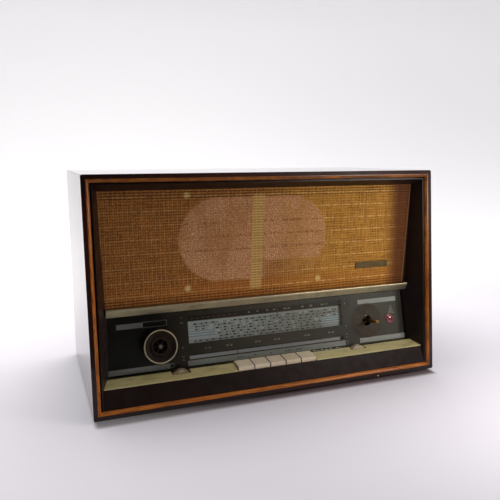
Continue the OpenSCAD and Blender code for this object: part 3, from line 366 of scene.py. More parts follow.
# %% The golden bead
def bead_wood():
    f = Finish("golden_bead", roughness=0.46, Coat_Weight=0.15, Coat_Roughness=0.2, Specular_IOR_Level=0.2)
    x, _, z = f.axes()
    # The grain runs along the bead, so it turns at the corners
    side_x = 286.5
    upright = f.sum("GREATER_THAN", f.sum("ABSOLUTE", x), side_x)
    lying = f.spots((45, 1.6, 1.6), detail=4)
    standing = f.spots((1.6, 1.6, 45), detail=4)
    grain = f.mix(upright, lying, standing)
    worn = f.remap(f.spots(26, detail=4), 0.42, 0.66)
    wood = f.mix(f.remap(grain, 0.34, 0.66), (118, 60, 16), (190, 108, 30))
    # Its right side and its top are painted darker: painted shade
    shaded = f.sum("MAXIMUM", f.remap(x, 270, 292, 0.0, 0.5), f.remap(z, 335, 346, 0.0, 0.6))
    wood = f.mix(shaded, wood, (78, 42, 14))
    f.colour(f.mix(f.times(worn, 0.3), wood, (206, 126, 42)))
    f.put(f.remap(worn, 0, 1, 0.32, 0.48), "Roughness")
    f.relief(grain, 0.12, 0.35)
    return f.material


# %% Plain boards: the baffle, and the pressed board of the back
def baffle_wood():
    f = Finish("baffle_ply", roughness=0.7)
    _, y, _ = f.axes()
    layers = f.remap(f.spots((300, 1.1, 300), detail=1), 0.42, 0.58)
    face = f.mix(f.remap(f.spots((9, 200, 150), detail=5)), (176, 140, 96), (206, 174, 128))
    edge = f.mix(layers, (122, 86, 54), (196, 160, 112))
    # The layers show on the cut edges alone
    middle_y = -104
    off = f.sum("ABSOLUTE", f.minus(y, middle_y))
    f.colour(f.mix(f.remap(off, 3.0, 3.9), edge, face))
    f.relief(f.spots((0.8, 60, 30), detail=3), 0.1, 0.3)
    return f.material


def pressed_board():
    f = Finish("pressed_board", roughness=0.66)
    fibres = f.spots((1.6, 1.6, 0.7), detail=6, rough=0.7)
    patches = f.remap(f.spots(70, detail=3), 0.35, 0.65)
    board = f.mix(f.remap(fibres, 0.35, 0.68), (66, 44, 28), (112, 80, 52))
    f.colour(f.mix(f.times(patches, 0.35), board, (92, 62, 40)))
    f.rough(fibres, 0.55, 0.8)
    f.relief(fibres, 0.12, 0.5)
    f.relief(f.spots((2.2, 40, 2.2), detail=0), 0.08, 0.25)
    return f.material


# %% [markdown]
# ## Paint and metal
# The sloping surround and the rail below it are sprayed in a satin dark brown, which shows a fine orange
# peel. The grille bar is champagne anodised and drawn along its length, and the ring of the knob is drawn
# round, with its outer side painted dark. The ledge is sheet metal in a thick cream paint that has yellowed.
# Inside are plated steel, brass and soft iron.

# %% Satin paint and the cream ledge
def satin_paint():
    f = Finish("satin_brown", roughness=0.36, Coat_Weight=0.1, Coat_Roughness=0.2, Specular_IOR_Level=0.2)
    patches = f.remap(f.spots(60, detail=4))
    f.colour(f.mix(patches, (23, 13, 12), (34, 20, 18)))
    f.rough(f.spots(14, detail=5), 0.28, 0.42)
    f.relief(f.spots(1.4, detail=1), 0.03, 0.5)
    return f.material


def cream_paint():
    f = Finish("ledge_cream", roughness=0.36, Coat_Weight=0.3, Coat_Roughness=0.2)
    grime = f.remap(f.spots((30, 8, 8), detail=5), 0.45, 0.72)
    paint = f.mix(f.remap(f.spots(120, detail=2)), (178, 165, 111), (192, 181, 129))
    f.colour(f.mix(f.times(grime, 0.55), paint, (128, 114, 74)))
    f.put(f.remap(grime, 0, 1, 0.32, 0.5), "Roughness")
    f.relief(f.spots(1.1, detail=2), 0.02, 0.4)
    return f.material


# %% Metals
def drawn_metal(name, dark, light, run, roughness):
    """Metal with fine lines; run is their size in mm on each axis, roughness its least and most."""
    f = Finish(name, roughness=roughness[0], Metallic=1.0)
    lines = f.spots(run, detail=4, rough=0.6)
    stain = f.remap(f.spots(22, detail=5), 0.4, 0.72)
    bright = f.mix(f.remap(lines), dark, light)
    f.colour(f.mix(f.times(stain, 0.35), bright, tuple(round(c * 0.72) for c in dark)))
    f.put(f.remap(f.sum("ADD", lines, f.times(stain, 0.3)), 0.3, 0.9, *roughness), "Roughness")
    f.relief(lines, 0.01, 0.5)
    return f.material


def painted_metal(name, dark, light, size, roughness):
    """Sprayed paint; size is that of its clouds in millimetres."""
    f = Finish(name, roughness=roughness)
    cloud = f.remap(f.spots(size, detail=5), 0.32, 0.68)
    f.colour(f.mix(cloud, dark, light))
    f.rough(f.spots(9, detail=4), roughness - 0.08, roughness + 0.1)
    f.relief(f.spots(1.2, detail=2), 0.03, 0.4)
    return f.material


# %% The bright strips of the dial and the ring of the knob
# The dial leans back from its foot. On it u runs to the right and v up from the foot, in millimetres.
LEAN = math.radians(10.8)
FOOT = Vector((0.0, -120.5, 55.0))
# The bare shaft stands at SHAFT_U, the knob at minus SHAFT_U
SHAFT_U, SHAFT_V = 191.5, 38.2
LAMP_U, LAMP_V = 240.0, 36.4


def strip_metal():
    """Satin strips, painted paler at their left ends and darker at their right: painted light and shade."""
    f = Finish("bright_strip", roughness=0.6, Metallic=0.15)
    x, _, _ = f.axes()
    lines = f.remap(f.spots((40, 0.4, 0.4), detail=4))
    right = f.mix(lines, (146, 148, 146), (172, 174, 171))
    # Paler at the left end and darker at the right: painted light and shade that even out the lamp at the
    # front right
    f.colour(f.mix(f.remap(x, -120, 60), f.mix(lines, (204, 207, 204), (226, 228, 225)), right))
    f.put(f.remap(f.spots(22, detail=5), 0.4, 0.72, 0.5, 0.65), "Roughness")
    f.relief(lines, 0.01, 0.5)
    return f.material


def ring_metal(outside):
    """Drawn ring, painted dark on its outer side; outside is its radius in millimetres."""
    f = Finish("knob_ring", roughness=0.46, Metallic=1.0)
    x, y, z = f.axes()
    v = f.sum("ADD", f.times(f.minus(y, FOOT.y), math.sin(LEAN)),
              f.times(f.minus(z, FOOT.z), math.cos(LEAN)))
    out = f.distance(f.minus(x, -SHAFT_U), f.minus(v, SHAFT_V))
    lines = f.remap(f.spots((0.8, 0.4, 0.8), detail=4))
    drawn = f.mix(lines, (184, 168, 134), (222, 208, 178))
    f.colour(f.mix(f.remap(out, outside - 0.5, outside - 0.2), drawn, (40, 30, 22)))
    f.rough(f.spots(9, detail=4), 0.42, 0.55)
    f.relief(lines, 0.01, 0.5)
    return f.material


# %% The tuning shaft
def shaft_brass():
    """Bright where a knob was, darker further in, behind the glass."""
    f = Finish("shaft_brass", roughness=0.3, Metallic=1.0)
    _, y, _ = f.axes()
    rings = f.spots((2, 0.35, 2), detail=4)
    bright = f.mix(f.remap(rings), (150, 108, 52), (206, 162, 92))
    # The shaft is painted darker from where it passes behind the glass
    dark_starts, dark_full = -113.0, -109.0
    deep = f.remap(f.sum("ADD", y, f.times(f.spots(4), 2.0)), dark_starts, dark_full)
    f.colour(f.mix(f.times(deep, 0.9), bright, (34, 27, 18)))
    f.put(f.sum("ADD", f.remap(rings, 0.3, 0.9, 0.22, 0.38), f.times(deep, 0.25)), "Roughness")
    f.relief(rings, 0.01, 0.5)
    return f.material


# %% [markdown]
# ## Plastic, rubber and paper
# Keys and tone wheels are pressed in an ivory resin that has yellowed unevenly and holds grime. The wheels
# are also painted darker as painted shade of their notches, the left wheel most of all. The knob is a brown
# resin with little shine. Cones are pressed from paper pulp, so they are dull and fibrous. Each recipe keeps
# its spots at the size they have on the real piece.

# %% Resin
def resin(name, light, dark, roughness, marbling, grime=None, coat=0.2, share=0.6, seams=(), gloss=0.5):
    """Moulded resin. Marbling is the size of its clouds in mm, share how strongly grime covers it, and
    seams are the places along x where the gap between two pieces is painted dark: painted shade and the dirt
    in it."""
    f = Finish(name, roughness=roughness, Coat_Weight=coat, Coat_Roughness=0.12, Specular_IOR_Level=gloss)
    cloud = f.remap(f.spots(marbling, detail=5), 0.33, 0.67)
    body = f.mix(cloud, light, dark)
    if grime:
        spots = f.remap(f.spots(3.2, detail=5, rough=0.7), 0.56, 0.74)
        body = f.mix(f.times(spots, share), body, grime)
    x, _, _ = f.axes()
    for seam in seams:
        # At each seam the gap is painted dark: painted shade with the dirt in it
        body = f.mix(f.times(f.band(x, seam, 1.0, 0.6), 0.95), body, (22, 15, 10))
    f.colour(body)
    f.rough(f.spots(5, detail=4), roughness - 0.06, roughness + 0.1)
    f.relief(f.spots(2.4, detail=3), 0.03, 0.3)
    return f.material


# %% Fibrous and dull things
def fibrous(name, light, dark, size, roughness, depth):
    """Dull stuff with a grain; size is the grain's on each axis and depth its relief, in millimetres."""
    f = Finish(name, roughness=roughness)
    fibres = f.spots(size, detail=6, rough=0.7)
    patches = f.remap(f.spots(30, detail=3), 0.35, 0.65)
    body = f.mix(f.remap(fibres, 0.34, 0.66), dark, light)
    f.colour(f.mix(f.times(patches, 0.3), body, dark))
    f.rough(fibres, roughness - 0.1, min(roughness + 0.08, 1.0))
    f.relief(fibres, depth, 0.5)
    return f.material


# %% [markdown]
# ## Glass
# The dial glass is plain glass with the print on its back. A glass sheet mostly lets light through and
# mirrors a little, more at a grazing angle, so its shader mixes a clear part with a mirror part by Fresnel.
# That keeps what lies behind it bright and sharp. The red lens lets a third of the light through and is
# darkest in its middle, and the indicator tube is dark, because the set is switched off.

# %% Clear sheets and bulbs
def clear_glass(name, tint, dust):
    """Clear glass with a film of dust."""
    f = Finish(name, roughness=0.05)
    through = f.node("ShaderNodeBsdfTransparent")
    through.inputs["Color"].default_value = tone(*tint)
    mirror = f.node("ShaderNodeBsdfGlossy")
    mirror.inputs["Roughness"].default_value = 0.03
    edge_on = f.node("ShaderNodeFresnel")
    edge_on.inputs["IOR"].default_value = 1.5
    film = f.sum("ADD", edge_on.outputs[0], f.remap(f.spots(60, detail=4), 0.45, 0.8, 0.0, dust))
    both = f.node("ShaderNodeMixShader")
    f.put(film, both.inputs[0])
    f.put(through.outputs[0], both.inputs[1])
    f.put(mirror.outputs[0], both.inputs[2])
    f.put(both.outputs[0], f.tree.nodes["Material Output"].inputs["Surface"])
    f.tree.nodes.remove(f.shader)
    return f.material


def red_glass():
    f = Finish("red_lens", roughness=0.12, Transmission_Weight=0.35, IOR=1.5, Coat_Weight=1.0,
               Coat_Roughness=0.05)
    x, _, z = f.axes()
    middle_z = 90.4
    off = f.distance(f.minus(x, LAMP_U), f.minus(z, middle_z))
    rings = f.times(f.spots(1.6, detail=3), 0.5)
    f.colour(f.mix(f.remap(f.sum("ADD", off, rings), 3.6, 5.6), (96, 6, 22), (206, 96, 112)))
    f.relief(f.spots(1.5, detail=1), 0.1, 0.3)
    return f.material


def eye_glass():
    f = Finish("indicator_tube", roughness=0.14, Coat_Weight=1.0, Coat_Roughness=0.04)
    coat = f.remap(f.spots((30, 4, 4), detail=3), 0.35, 0.65)
    f.colour(f.mix(coat, (12, 13, 12), (30, 34, 30)))
    f.relief(f.spots(8, detail=2), 0.03, 0.3)
    return f.material


# %% [markdown]
# ## Every solid gets its finish
# The list below goes through the solids in the order in which the set is put together. Pieces of the same
# stuff share a finish, so the keys look like one moulding batch. Sheet and moulded edges are never razor
# sharp, so a narrow bevel is laid over them: that is what catches a line of light along each edge.

# %% Mix the finishes
STUFF = {
    "lacquer": lacquered_wood(),
    "bead": bead_wood(),
    "satin": satin_paint(),
    "baffle": baffle_wood(),
    "back": pressed_board(),
    "champagne": drawn_metal("champagne_bar", (162, 151, 120), (200, 190, 158), (60, 0.5, 0.5), (0.30, 0.46)),
    "badge": drawn_metal("badge_bronze", (74, 62, 42), (112, 96, 66), (18, 0.3, 0.3), (0.36, 0.52)),
    "strip": strip_metal(),
    "steel": drawn_metal("plated_steel", (158, 152, 132), (192, 188, 170), (14, 14, 2), (0.32, 0.5)),
    "rod": drawn_metal("bright_rod", (176, 176, 174), (214, 214, 210), (20, 1, 1), (0.18, 0.3)),
    "shaft": drawn_metal("turned_shaft", (170, 168, 160), (216, 214, 206), (1.5, 0.3, 1.5), (0.2, 0.34)),
    "brass": shaft_brass(),
    "can": drawn_metal("aluminium_can", (170, 172, 174), (204, 206, 208), (1.2, 1.2, 40), (0.3, 0.46)),
    "chassis": drawn_metal("chassis_steel", (140, 138, 130), (178, 176, 166), (30, 30, 3), (0.4, 0.6)),
    "vane": drawn_metal("vane_sheet", (176, 178, 180), (212, 214, 214), (10, 1, 10), (0.26, 0.4)),
    "iron": fibrous("core_iron", (96, 96, 100), (50, 50, 54), (30, 0.5, 30), 0.6, 0.05),
    "basket": painted_metal("basket_grey", (52, 54, 58), (74, 76, 80), 30, 0.5),
    "magnet": painted_metal("magnet_red_brown", (70, 40, 34), (92, 56, 46), 20, 0.42),
    "pointer": painted_metal("pointer_red", (160, 26, 28), (196, 44, 40), 6, 0.4),
    "cream": cream_paint(),
    "keys": resin("ivory_keys", (218, 201, 174), (206, 187, 158), 0.34, 40, (172, 150, 116),
                  seams=[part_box("key_%d" % k)[1].x / MM + 0.25 for k in range(1, 5)]),
    # The tone wheels are darker than the keys: grime, and painted shade of their notches; the left one more
    # so
    "ivory": resin("ivory_resin", (198, 182, 154), (166, 148, 118), 0.42, 9, (70, 54, 36), share=0.9),
    "dirty_and_shaded": resin("dirty_and_shaded_ivory", (190, 172, 138), (112, 96, 70), 0.46, 5, (34, 25, 16), share=0.95,
                   gloss=0.3),
    "knob": resin("brown_resin", (40, 28, 20), (26, 18, 13), 0.5, 14, coat=0.0, gloss=0.12),
    "ring": ring_metal((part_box("knob_ring")[1].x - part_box("knob_ring")[0].x) / 2 / MM),
    "drum": resin("drum_resin", (206, 194, 160), (186, 170, 132), 0.45, 18),
    "pertinax": fibrous("brown_laminate", (150, 104, 62), (112, 72, 40), (6, 0.4, 6), 0.5, 0.03),
    "ceramic": resin("socket_ceramic", (206, 200, 186), (186, 178, 162), 0.4, 12, (120, 108, 88)),
    "ferrite": fibrous("ferrite_rod", (58, 56, 58), (30, 29, 31), (1.2, 1.2, 1.2), 0.6, 0.05),
    "cone": fibrous("cone_paper", (74, 66, 58), (44, 38, 34), (1.2, 1.2, 1.2), 0.9, 0.2),
    "rubber": fibrous("black_rubber", (44, 42, 42), (22, 21, 22), (0.8, 0.8, 0.8), 0.75, 0.05),
    "felt": fibrous("grey_felt", (90, 84, 78), (52, 48, 45), (0.5, 0.5, 0.5), 0.95, 0.3),
    "glass": clear_glass("dial_glass", (252, 253, 251), 0.02),
    "bulb": clear_glass("tube_glass", (226, 232, 230), 0.06),
    "red": red_glass(),
    "eye": eye_glass(),
}

# %% Who wears what
WEARS = {
    "lacquer": "cabinet", "bead": "inlay_bead", "satin": "front_surround bottom_rail",
    "baffle": "baffle_board", "back": "back_cover", "champagne": "grille_bar", "badge": "badge_plate",
    "strip": "dial_strips",
    "glass": "dial_glass", "eye": "magic_eye", "red": "pilot_lens", "pointer": "am_pointer fm_pointer",
    "steel": "dial_frame key_frame flywheel capacitor_frame speaker_bolts chassis_bolts back_screws"
             " key_springs",
    "rod": "pointer_rails key_rod", "brass": "tuning_shaft", "shaft": "volume_shaft",
    "drum": "am_drum fm_drum",
    "vane": "capacitor_rotor", "can": "if_cans filter_capacitor fm_tuner", "chassis": "chassis",
    "pertinax": "rear_sockets tone_pots volume_pot", "knob": "volume_knob", "ring": "knob_ring",
    "ivory": "tone_wheel_right", "dirty_and_shaded": "tone_wheel_left", "cream": "ledge",
    "keys": "key_1 key_2 key_3 key_4 key_5",
    "iron": "power_transformer output_transformer", "ceramic": "tube_sockets",
    "bulb": "signal_tubes output_tube dial_lamps", "ferrite": "ferrite_antenna", "basket": "speaker_basket",
    "cone": "speaker_cone", "magnet": "speaker_magnet", "rubber": "cord_grommet", "felt": "feet",
}


def dress(node, material):
    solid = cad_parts[node]
    if not solid.material_slots:
        solid.data.materials.append(material)
    for holder in solid.material_slots:
        holder.link = "OBJECT"
        holder.material = material


for stuff, nodes in WEARS.items():
    for node in nodes.split():
        dress(node, STUFF[stuff])
bare_nodes = set(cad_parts) - {n for names in WEARS.values() for n in names.split()}
print("solids without a finish so far:", sorted(bare_nodes))


# %% Soften the edges
def soften(node, width):
    """Rounds the sharp edges of a solid by a width in millimetres."""
    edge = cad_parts[node].modifiers.new("soft_edge", "BEVEL")
    edge.width = width * MM
    edge.segments = 2
    edge.limit_method = "ANGLE"
    edge.angle_limit = math.radians(32)
    edge.use_clamp_overlap = True


EDGES = {"ledge": 0.5, "bottom_rail": 0.6, "badge_plate": 0.35, "front_surround": 0.12, "dial_strips": 0.1,
         "chassis": 0.3, WEARS["keys"]: 0.45}
for nodes, width in EDGES.items():
    for node in nodes.split():
        soften(node, width)

# %% [markdown]
# ## Grille cloth
# A woven cloth is stretched over the baffle. Doubled threads run up and down about every seven millimetres
# with a thinner one between them, and single ones cross them every four or so. Each fifth crossing thread
# is a brighter yarn. The relief is modelled in the mesh, so light rakes over it, and the colours of the
# threads are left to the finish. The pale patches are where the cone shows through on both sides of a post.

# %% Weave the cloth
lo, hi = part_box("grille_cloth")
# Pitch of the uprights and of the lying threads, and a place where each kind runs, in millimetres
UPRIGHT, LYING = 3.485, 4.37
FIRST_X, YARN_Z = 4.9, 260.4
# Every fifth row is the yarn, and the mesh has three points to a thread
ROWS_PER_YARN, SAMPLES = 5, 3
# How far threads, doubled threads, yarn and chance stand out, and where their middle lies in the cloth
THREAD, DOUBLED, YARN, CHANCE, MIDDLE = 0.09, 0.04, 0.12, 0.05, 0.45
cloth_w, cloth_h = (hi.x - lo.x) / MM, (hi.z - lo.z) / MM
columns, rows = round(cloth_w / UPRIGHT * SAMPLES), round(cloth_h / LYING * SAMPLES)
across = np.linspace(lo.x / MM, hi.x / MM, columns + 1)
upward = np.linspace(lo.z / MM, hi.z / MM, rows + 1)
gx, gz = np.meshgrid(across, upward)
swell = THREAD * np.cos(2 * np.pi * (gx - FIRST_X) / UPRIGHT)
swell = swell + THREAD * np.cos(2 * np.pi * (gz - YARN_Z) / LYING)
swell += DOUBLED * np.cos(np.pi * (gx - FIRST_X) / UPRIGHT)
half_way = ROWS_PER_YARN / 2 * LYING
from_yarn = np.abs(((gz - YARN_Z + half_way) % (ROWS_PER_YARN * LYING)) - half_way)
yarn = YARN * (from_yarn < 0.8)
dice = np.random.default_rng(11)
chance = CHANCE * dice.standard_normal(gx.shape)
face_y = (lo.y / MM + MIDDLE) - swell - yarn - chance.clip(-0.1, 0.1)
points = np.stack([gx, face_y, gz], axis=-1).reshape(-1, 3) * MM
index = np.arange(points.shape[0]).reshape(rows + 1, columns + 1)
faces = np.stack([index[:-1, :-1], index[:-1, 1:], index[1:, 1:], index[1:, :-1]], axis=-1).reshape(-1, 4)
weave_mesh = bpy.data.meshes.new("woven_cloth")
weave_mesh.from_pydata(points.tolist(), [], faces.tolist())
weave_mesh.shade_smooth()
cloth = bpy.data.objects.new("woven_cloth", weave_mesh)
show(cloth)
print("cloth", round(cloth_w), "x", round(cloth_h), "mm with", len(faces), "faces")


# %% The cloth's finish
def golden_weave():
    f = Finish("golden_weave", roughness=0.82, Sheen_Weight=0.05, Sheen_Roughness=0.5, Specular_IOR_Level=0.2)
    x, _, z = f.axes()
    upright, doubled = f.wave(x, UPRIGHT, FIRST_X), f.wave(x, 2 * UPRIGHT, FIRST_X)
    lying = f.wave(z, LYING, YARN_Z)
    uneven = f.spots((5, 5, 5), detail=2)
    # Threads differ along and across, and by finer grit
    streaks = f.sum("ADD", f.spots((1.5, 50, 30), detail=3), f.spots((30, 50, 1.5), detail=3))
    grit = f.remap(f.sum("MULTIPLY_ADD", f.spots(1.7, detail=2), 0.8, streaks), 1.1, 1.7)
    gold = f.mix(grit, (130, 78, 16), (196, 140, 52))
    rusty = f.mix(grit, (98, 50, 12), (154, 92, 34))
    # The threads are darker and redder to the left: partly their own colour, partly painted shade at the end
    # far from the lamp
    cloudy = f.sum("ADD", f.times(f.spots((90, 50, 40), detail=3), 110.0), x)
    thread = f.mix(f.remap(cloudy, 10, 150, 1.0, 0.0), gold, rusty)
    # The lowest rows are more orange
    low_glow = f.times(f.remap(z, 196, 176, 0.0, 0.45), f.remap(x, -230, -60, 0.3, 1.0))
    thread = f.mix(low_glow, thread, (172, 92, 22))
    # The crowns of the threads are painted lighter: a painted highlight
    standing = f.times(f.remap(upright, 0.5, 0.95), f.remap(doubled, 0.0, 1.0, 0.35, 1.0))
    lines = f.sum("MAXIMUM", standing, f.times(f.remap(lying, 0.5, 0.95), 0.8))
    lines = f.times(lines, f.remap(f.spots((3, 9, 3), detail=3), 0.35, 0.62, 0.04, 0.5))
    thread = f.mix(lines, thread, (206, 160, 92))
    # The board behind is open on both sides of a leaning post, and the cloth looks paler there. The opening
    # is straight for a length to each side of its middle and ends in two half rounds.
    middle_x, middle_z, straight, round_r = -24.5, 255.0, 62.0, 65.5
    post_x, post_half, post_lean = -21.7, 10.3, -0.045
    above = f.minus(z, middle_z)
    side = f.minus(f.sum("ABSOLUTE", f.minus(x, middle_x)), straight)
    out_of = f.distance(f.sum("MAXIMUM", side, 0.0), above)
    post = f.band(f.sum("MULTIPLY_ADD", above, post_lean, x), post_x, post_half, 3.0)
    lobe = f.remap(out_of, round_r, 70.0, 1.0, 0.0)
    lobe = f.times(lobe, f.minus(1.0, post))
    fade = f.sum("MAXIMUM", f.remap(z, 212, 220), f.remap(x, 10, -30))
    lobe = f.times(lobe, f.sum("MULTIPLY_ADD", fade, 0.8, 0.2))
    sparkle = f.remap(f.spots(1.9, detail=2), 0.46, 0.66)
    pale = f.mix(sparkle, (176, 118, 76), (224, 186, 144))
    patches = f.remap(f.spots((34, 50, 60), detail=3, shift=4.0), 0.34, 0.6, 0.45, 0.78)
    thread = f.mix(f.times(lobe, patches), thread, pale)
    post = f.times(post, f.band(z, 248.0, 78.0, 6.0))
    thread = f.mix(f.times(post, 0.6), thread, (220, 182, 110))
    # The yarn looks dark where the board is open behind it
    cross = f.remap(f.wave(z, ROWS_PER_YARN * LYING, YARN_Z), 0.955, 0.985)
    yarn_tone = f.mix(f.sum("MAXIMUM", lobe, post), (226, 184, 112), (98, 50, 18))
    seen = f.times(f.remap(uneven, 0.4, 0.65, 0.05, 0.7), f.remap(x, -60, 60, 0.35, 1.0))
    seen = f.mix(lobe, seen, f.times(f.band(z, 260, 27, 8), f.remap(uneven, 0.4, 0.62, 0.05, 0.6)))
    thread = f.mix(f.times(cross, seen), thread, yarn_tone)
    # Three screws behind press the cloth forward; pale spots over them are a painted highlight on the bumps
    for sx, sz in ((-140, 327), (-141, 179), (91, 178)):
        near = f.distance(f.minus(x, sx), f.minus(z, sz))
        thread = f.mix(f.remap(near, 2.0, 7.5, 0.6, 0.0), thread, (236, 204, 130))
    # Dark gaps: small holes all over, whole rows at the edges and on the post
    hole = f.times(f.minus(1.0, upright), f.minus(1.0, lying))
    opened = f.times(f.remap(uneven, 0.35, 0.65, 0.1, 0.36), f.sum("MULTIPLY_ADD", lobe, -0.5, 1.0))
    edge = f.sum("MAXIMUM", f.remap(z, 319, 322), f.remap(z, 171, 169))
    gaps = f.times(f.remap(lying, 0.45, 0.1), f.sum("MAXIMUM", f.times(edge, 0.8),
                                                             f.times(post, 0.5)))
    gaps = f.times(gaps, f.sum("MULTIPLY_ADD", doubled, -0.45, 1.0))
    hole = f.sum("MAXIMUM", f.times(f.remap(hole, 0.3, 0.62), opened), gaps)
    # The right end lies in the shade of the surround
    thread = f.mix(f.remap(x, 220, 254, 0.0, 0.9), thread, (84, 38, 16))
    body = f.mix(hole, thread, (36, 17, 6))
    # The last thread before the right wall, which leans, is a bright one, with a gap behind it painted dark
    # as painted shade
    wall_lean = -0.058
    to_wall = f.sum("MULTIPLY_ADD", z, wall_lean, x)
    body = f.mix(f.remap(to_wall, 256.6, 258.2, 0.0, 0.85), body, (26, 14, 9))
    f.colour(f.mix(f.times(f.band(to_wall, 256.0, 0.9, 0.8), 0.2), body, (206, 176, 124)))
    f.rough(uneven, 0.74, 0.9)
    f.relief(f.times(upright, lying), 0.12, 0.5)
    f.relief(f.spots((0.7, 3, 0.7), detail=2), 0.08, 0.3)
    return f.material


cloth.data.materials.append(golden_weave())
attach(cloth, "radio")
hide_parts("grille_cloth")

# %% [markdown]
# ## The print behind the dial glass
# The glass is painted on its back in a dark olive grey that leaves windows open: the long scale with the
# slot of the upper pointer above it, the narrow track of the lower pointer and the indicator window. A pale
# sheet stands behind. The numbers are ink on the back of the glass. All of it lies in the plane of the
# dial, which leans back, so one function turns a place on the dial into a place in the room.

# %% Places on the dial
ALONG_V = Vector((0.0, math.sin(LEAN), math.cos(LEAN)))
ALONG_W = Vector((0.0, math.cos(LEAN), -math.sin(LEAN)))


def on_dial(u, v, w):
    """u along the front, v up the glass and w behind its front face, in millimetres."""
    return (FOOT + Vector((u, 0, 0)) + ALONG_V * v + ALONG_W * w) * MM


def add_piece(name, shape, material, body="radio"):
    """Turns a shape into a piece that goes with its body."""
    mesh = bpy.data.meshes.new(name)
    shape.to_mesh(mesh)
    shape.free()
    piece = bpy.data.objects.new(name, mesh)
    show(piece)
    piece.data.materials.append(material)
    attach(piece, body)
    return piece


# %% The painted mask
def round_hole(u, v, d, steps=48):
    return [(u + d / 2 * math.cos(2 * math.pi * i / steps), v + d / 2 * math.sin(2 * math.pi * i / steps))
            for i in range(steps)]


def window(u0, u1, v0, v1):
    return [(u0, v0), (u1, v0), (u1, v1), (u0, v1)]


def cut_sheet(outline, holes, w, thick):
    """A thin sheet on the dial with holes in it."""
    shape = bmesh.new()
    for loop in [outline] + holes:
        ring = [shape.verts.new(on_dial(u, v, w)) for u, v in loop]
        for a, b in zip(ring, ring[1:] + ring[:1]):
            shape.edges.new((a, b))
    bmesh.ops.triangle_fill(shape, use_beauty=True, edges=shape.edges[:])
    push = ALONG_W * thick * MM
    grown = bmesh.ops.extrude_face_region(shape, geom=shape.faces[:])["geom"]
    bmesh.ops.translate(shape, vec=push, verts=[g for g in grown if isinstance(g, bmesh.types.BMVert)])
    bmesh.ops.recalc_face_normals(shape, faces=shape.faces[:])
    return shape


def dial_paint():
    f = Finish("dial_paint", roughness=0.5)
    x, _, _ = f.axes()
    cloud = f.remap(f.spots(70, detail=4))
    # The olive is painted lighter to the left, a painted reflection of the room in the glass, and darker to
    # the right
    painted_veil_olive = f.mix(cloud, (72, 62, 49), (86, 74, 58))
    olive = f.mix(f.remap(x, 0, 110), painted_veil_olive, f.mix(cloud, (40, 32, 26), (48, 39, 31)))
    f.colour(f.mix(f.remap(x, -210, -150, 1.0, 0.0), olive, (17, 15, 13)))
    f.put(f.remap(cloud, 0, 1, 0.45, 0.6), "Roughness")
    f.relief(f.spots(1.0, detail=2), 0.01, 0.3)
    return f.material


# The paint and its windows: left, right, lower and upper edge
PAINTED = window(-275.5, 275.5, -3.6, 87.6)
LONG_SCALE, LOWER_TRACK = window(-141.3, 141.3, 34.6, 79.0), window(-141.5, 141.5, 9.2, 14.7)
INDICATOR = window(-213.4, -176.6, 68.8, 75.8)
# Widths of the holes for the shafts and the lamp, then how deep the paint lies and how thick it is
SHAFT_HOLE, LAMP_HOLE = 18.6, 16.8
MASK_W, PAINT_T = 3.45, 0.1
openings = [LONG_SCALE, LOWER_TRACK, INDICATOR, round_hole(-SHAFT_U, SHAFT_V, SHAFT_HOLE),
            round_hole(SHAFT_U, SHAFT_V, SHAFT_HOLE), round_hole(LAMP_U, LAMP_V, LAMP_HOLE)]
mask = cut_sheet(PAINTED, openings, MASK_W, PAINT_T)
print("mask of the dial:", len(mask.faces), "faces")
add_piece("dial_mask", mask, dial_paint())


# %% The pale sheet behind the scale
def painted_back_light(f, strength):
    """Painted light: the sheet glows as if light from the open back of the set came through it, most at its
    left end.
    """
    x, _, _ = f.axes()
    f.put(tone(226, 232, 232), "Emission Color")
    f.put(f.times(f.remap(x, -160, 80, 1.0, 0.0), strength), "Emission Strength")


def backing_paint():
    f = Finish("scale_backing", roughness=0.6)
    x, _, z = f.axes()
    # Height up the sheet from its own foot; it is pale behind the scale and the lower track
    sheet_foot = 53.0
    v = f.sum("DIVIDE", f.minus(z, sheet_foot), math.cos(LEAN))
    lit = f.sum("MAXIMUM", f.band(v, 51.0, 18.5, 0.8), f.band(v, 11.5, 6.0, 0.8))
    streaks = f.spots((60, 4, 0.9), detail=4)
    pale = f.mix(f.remap(streaks, 0.35, 0.65), (214, 216, 213), (232, 233, 230))
    # Darker towards the right: painted shade that evens out the lamp at the front right
    pale = f.mix(f.remap(x, -60, 130, 0.0, 0.8), pale, (176, 177, 171))
    # Two blocks of fine blue lines, one at each end
    blocks = f.sum("MAXIMUM", f.times(f.band(x, -118, 23, 1), f.band(v, 47.6, 5.6, 1)),
                   f.times(f.band(x, 122, 19, 1), f.band(v, 47.6, 8.6, 1)))
    ruled = f.mix(f.remap(f.wave(v, 3.9, 0.0)), (128, 146, 160), (216, 230, 240))
    pale = f.mix(f.times(blocks, 0.85), pale, ruled)
    lilac = f.mix(f.remap(v, 16, 30), (206, 201, 208), pale)
    f.colour(f.mix(lit, (50, 35, 25), lilac))
    # The pale parts glow a little: painted light
    painted_back_light(f, f.times(lit, 0.1))
    f.relief(streaks, 0.02, 0.3)
    return f.material


dress("scale_backing", backing_paint())


# %% [markdown]
# ## Numbers and marks
# A dial of this kind is full of small numbers, one row for each wave band. Blender's own font gives the
# outlines of the digits once, and each number then only copies them. The ink is flat, so each figure is a
# set of flat faces right behind the glass. A short bar stands before each number of the long scale.

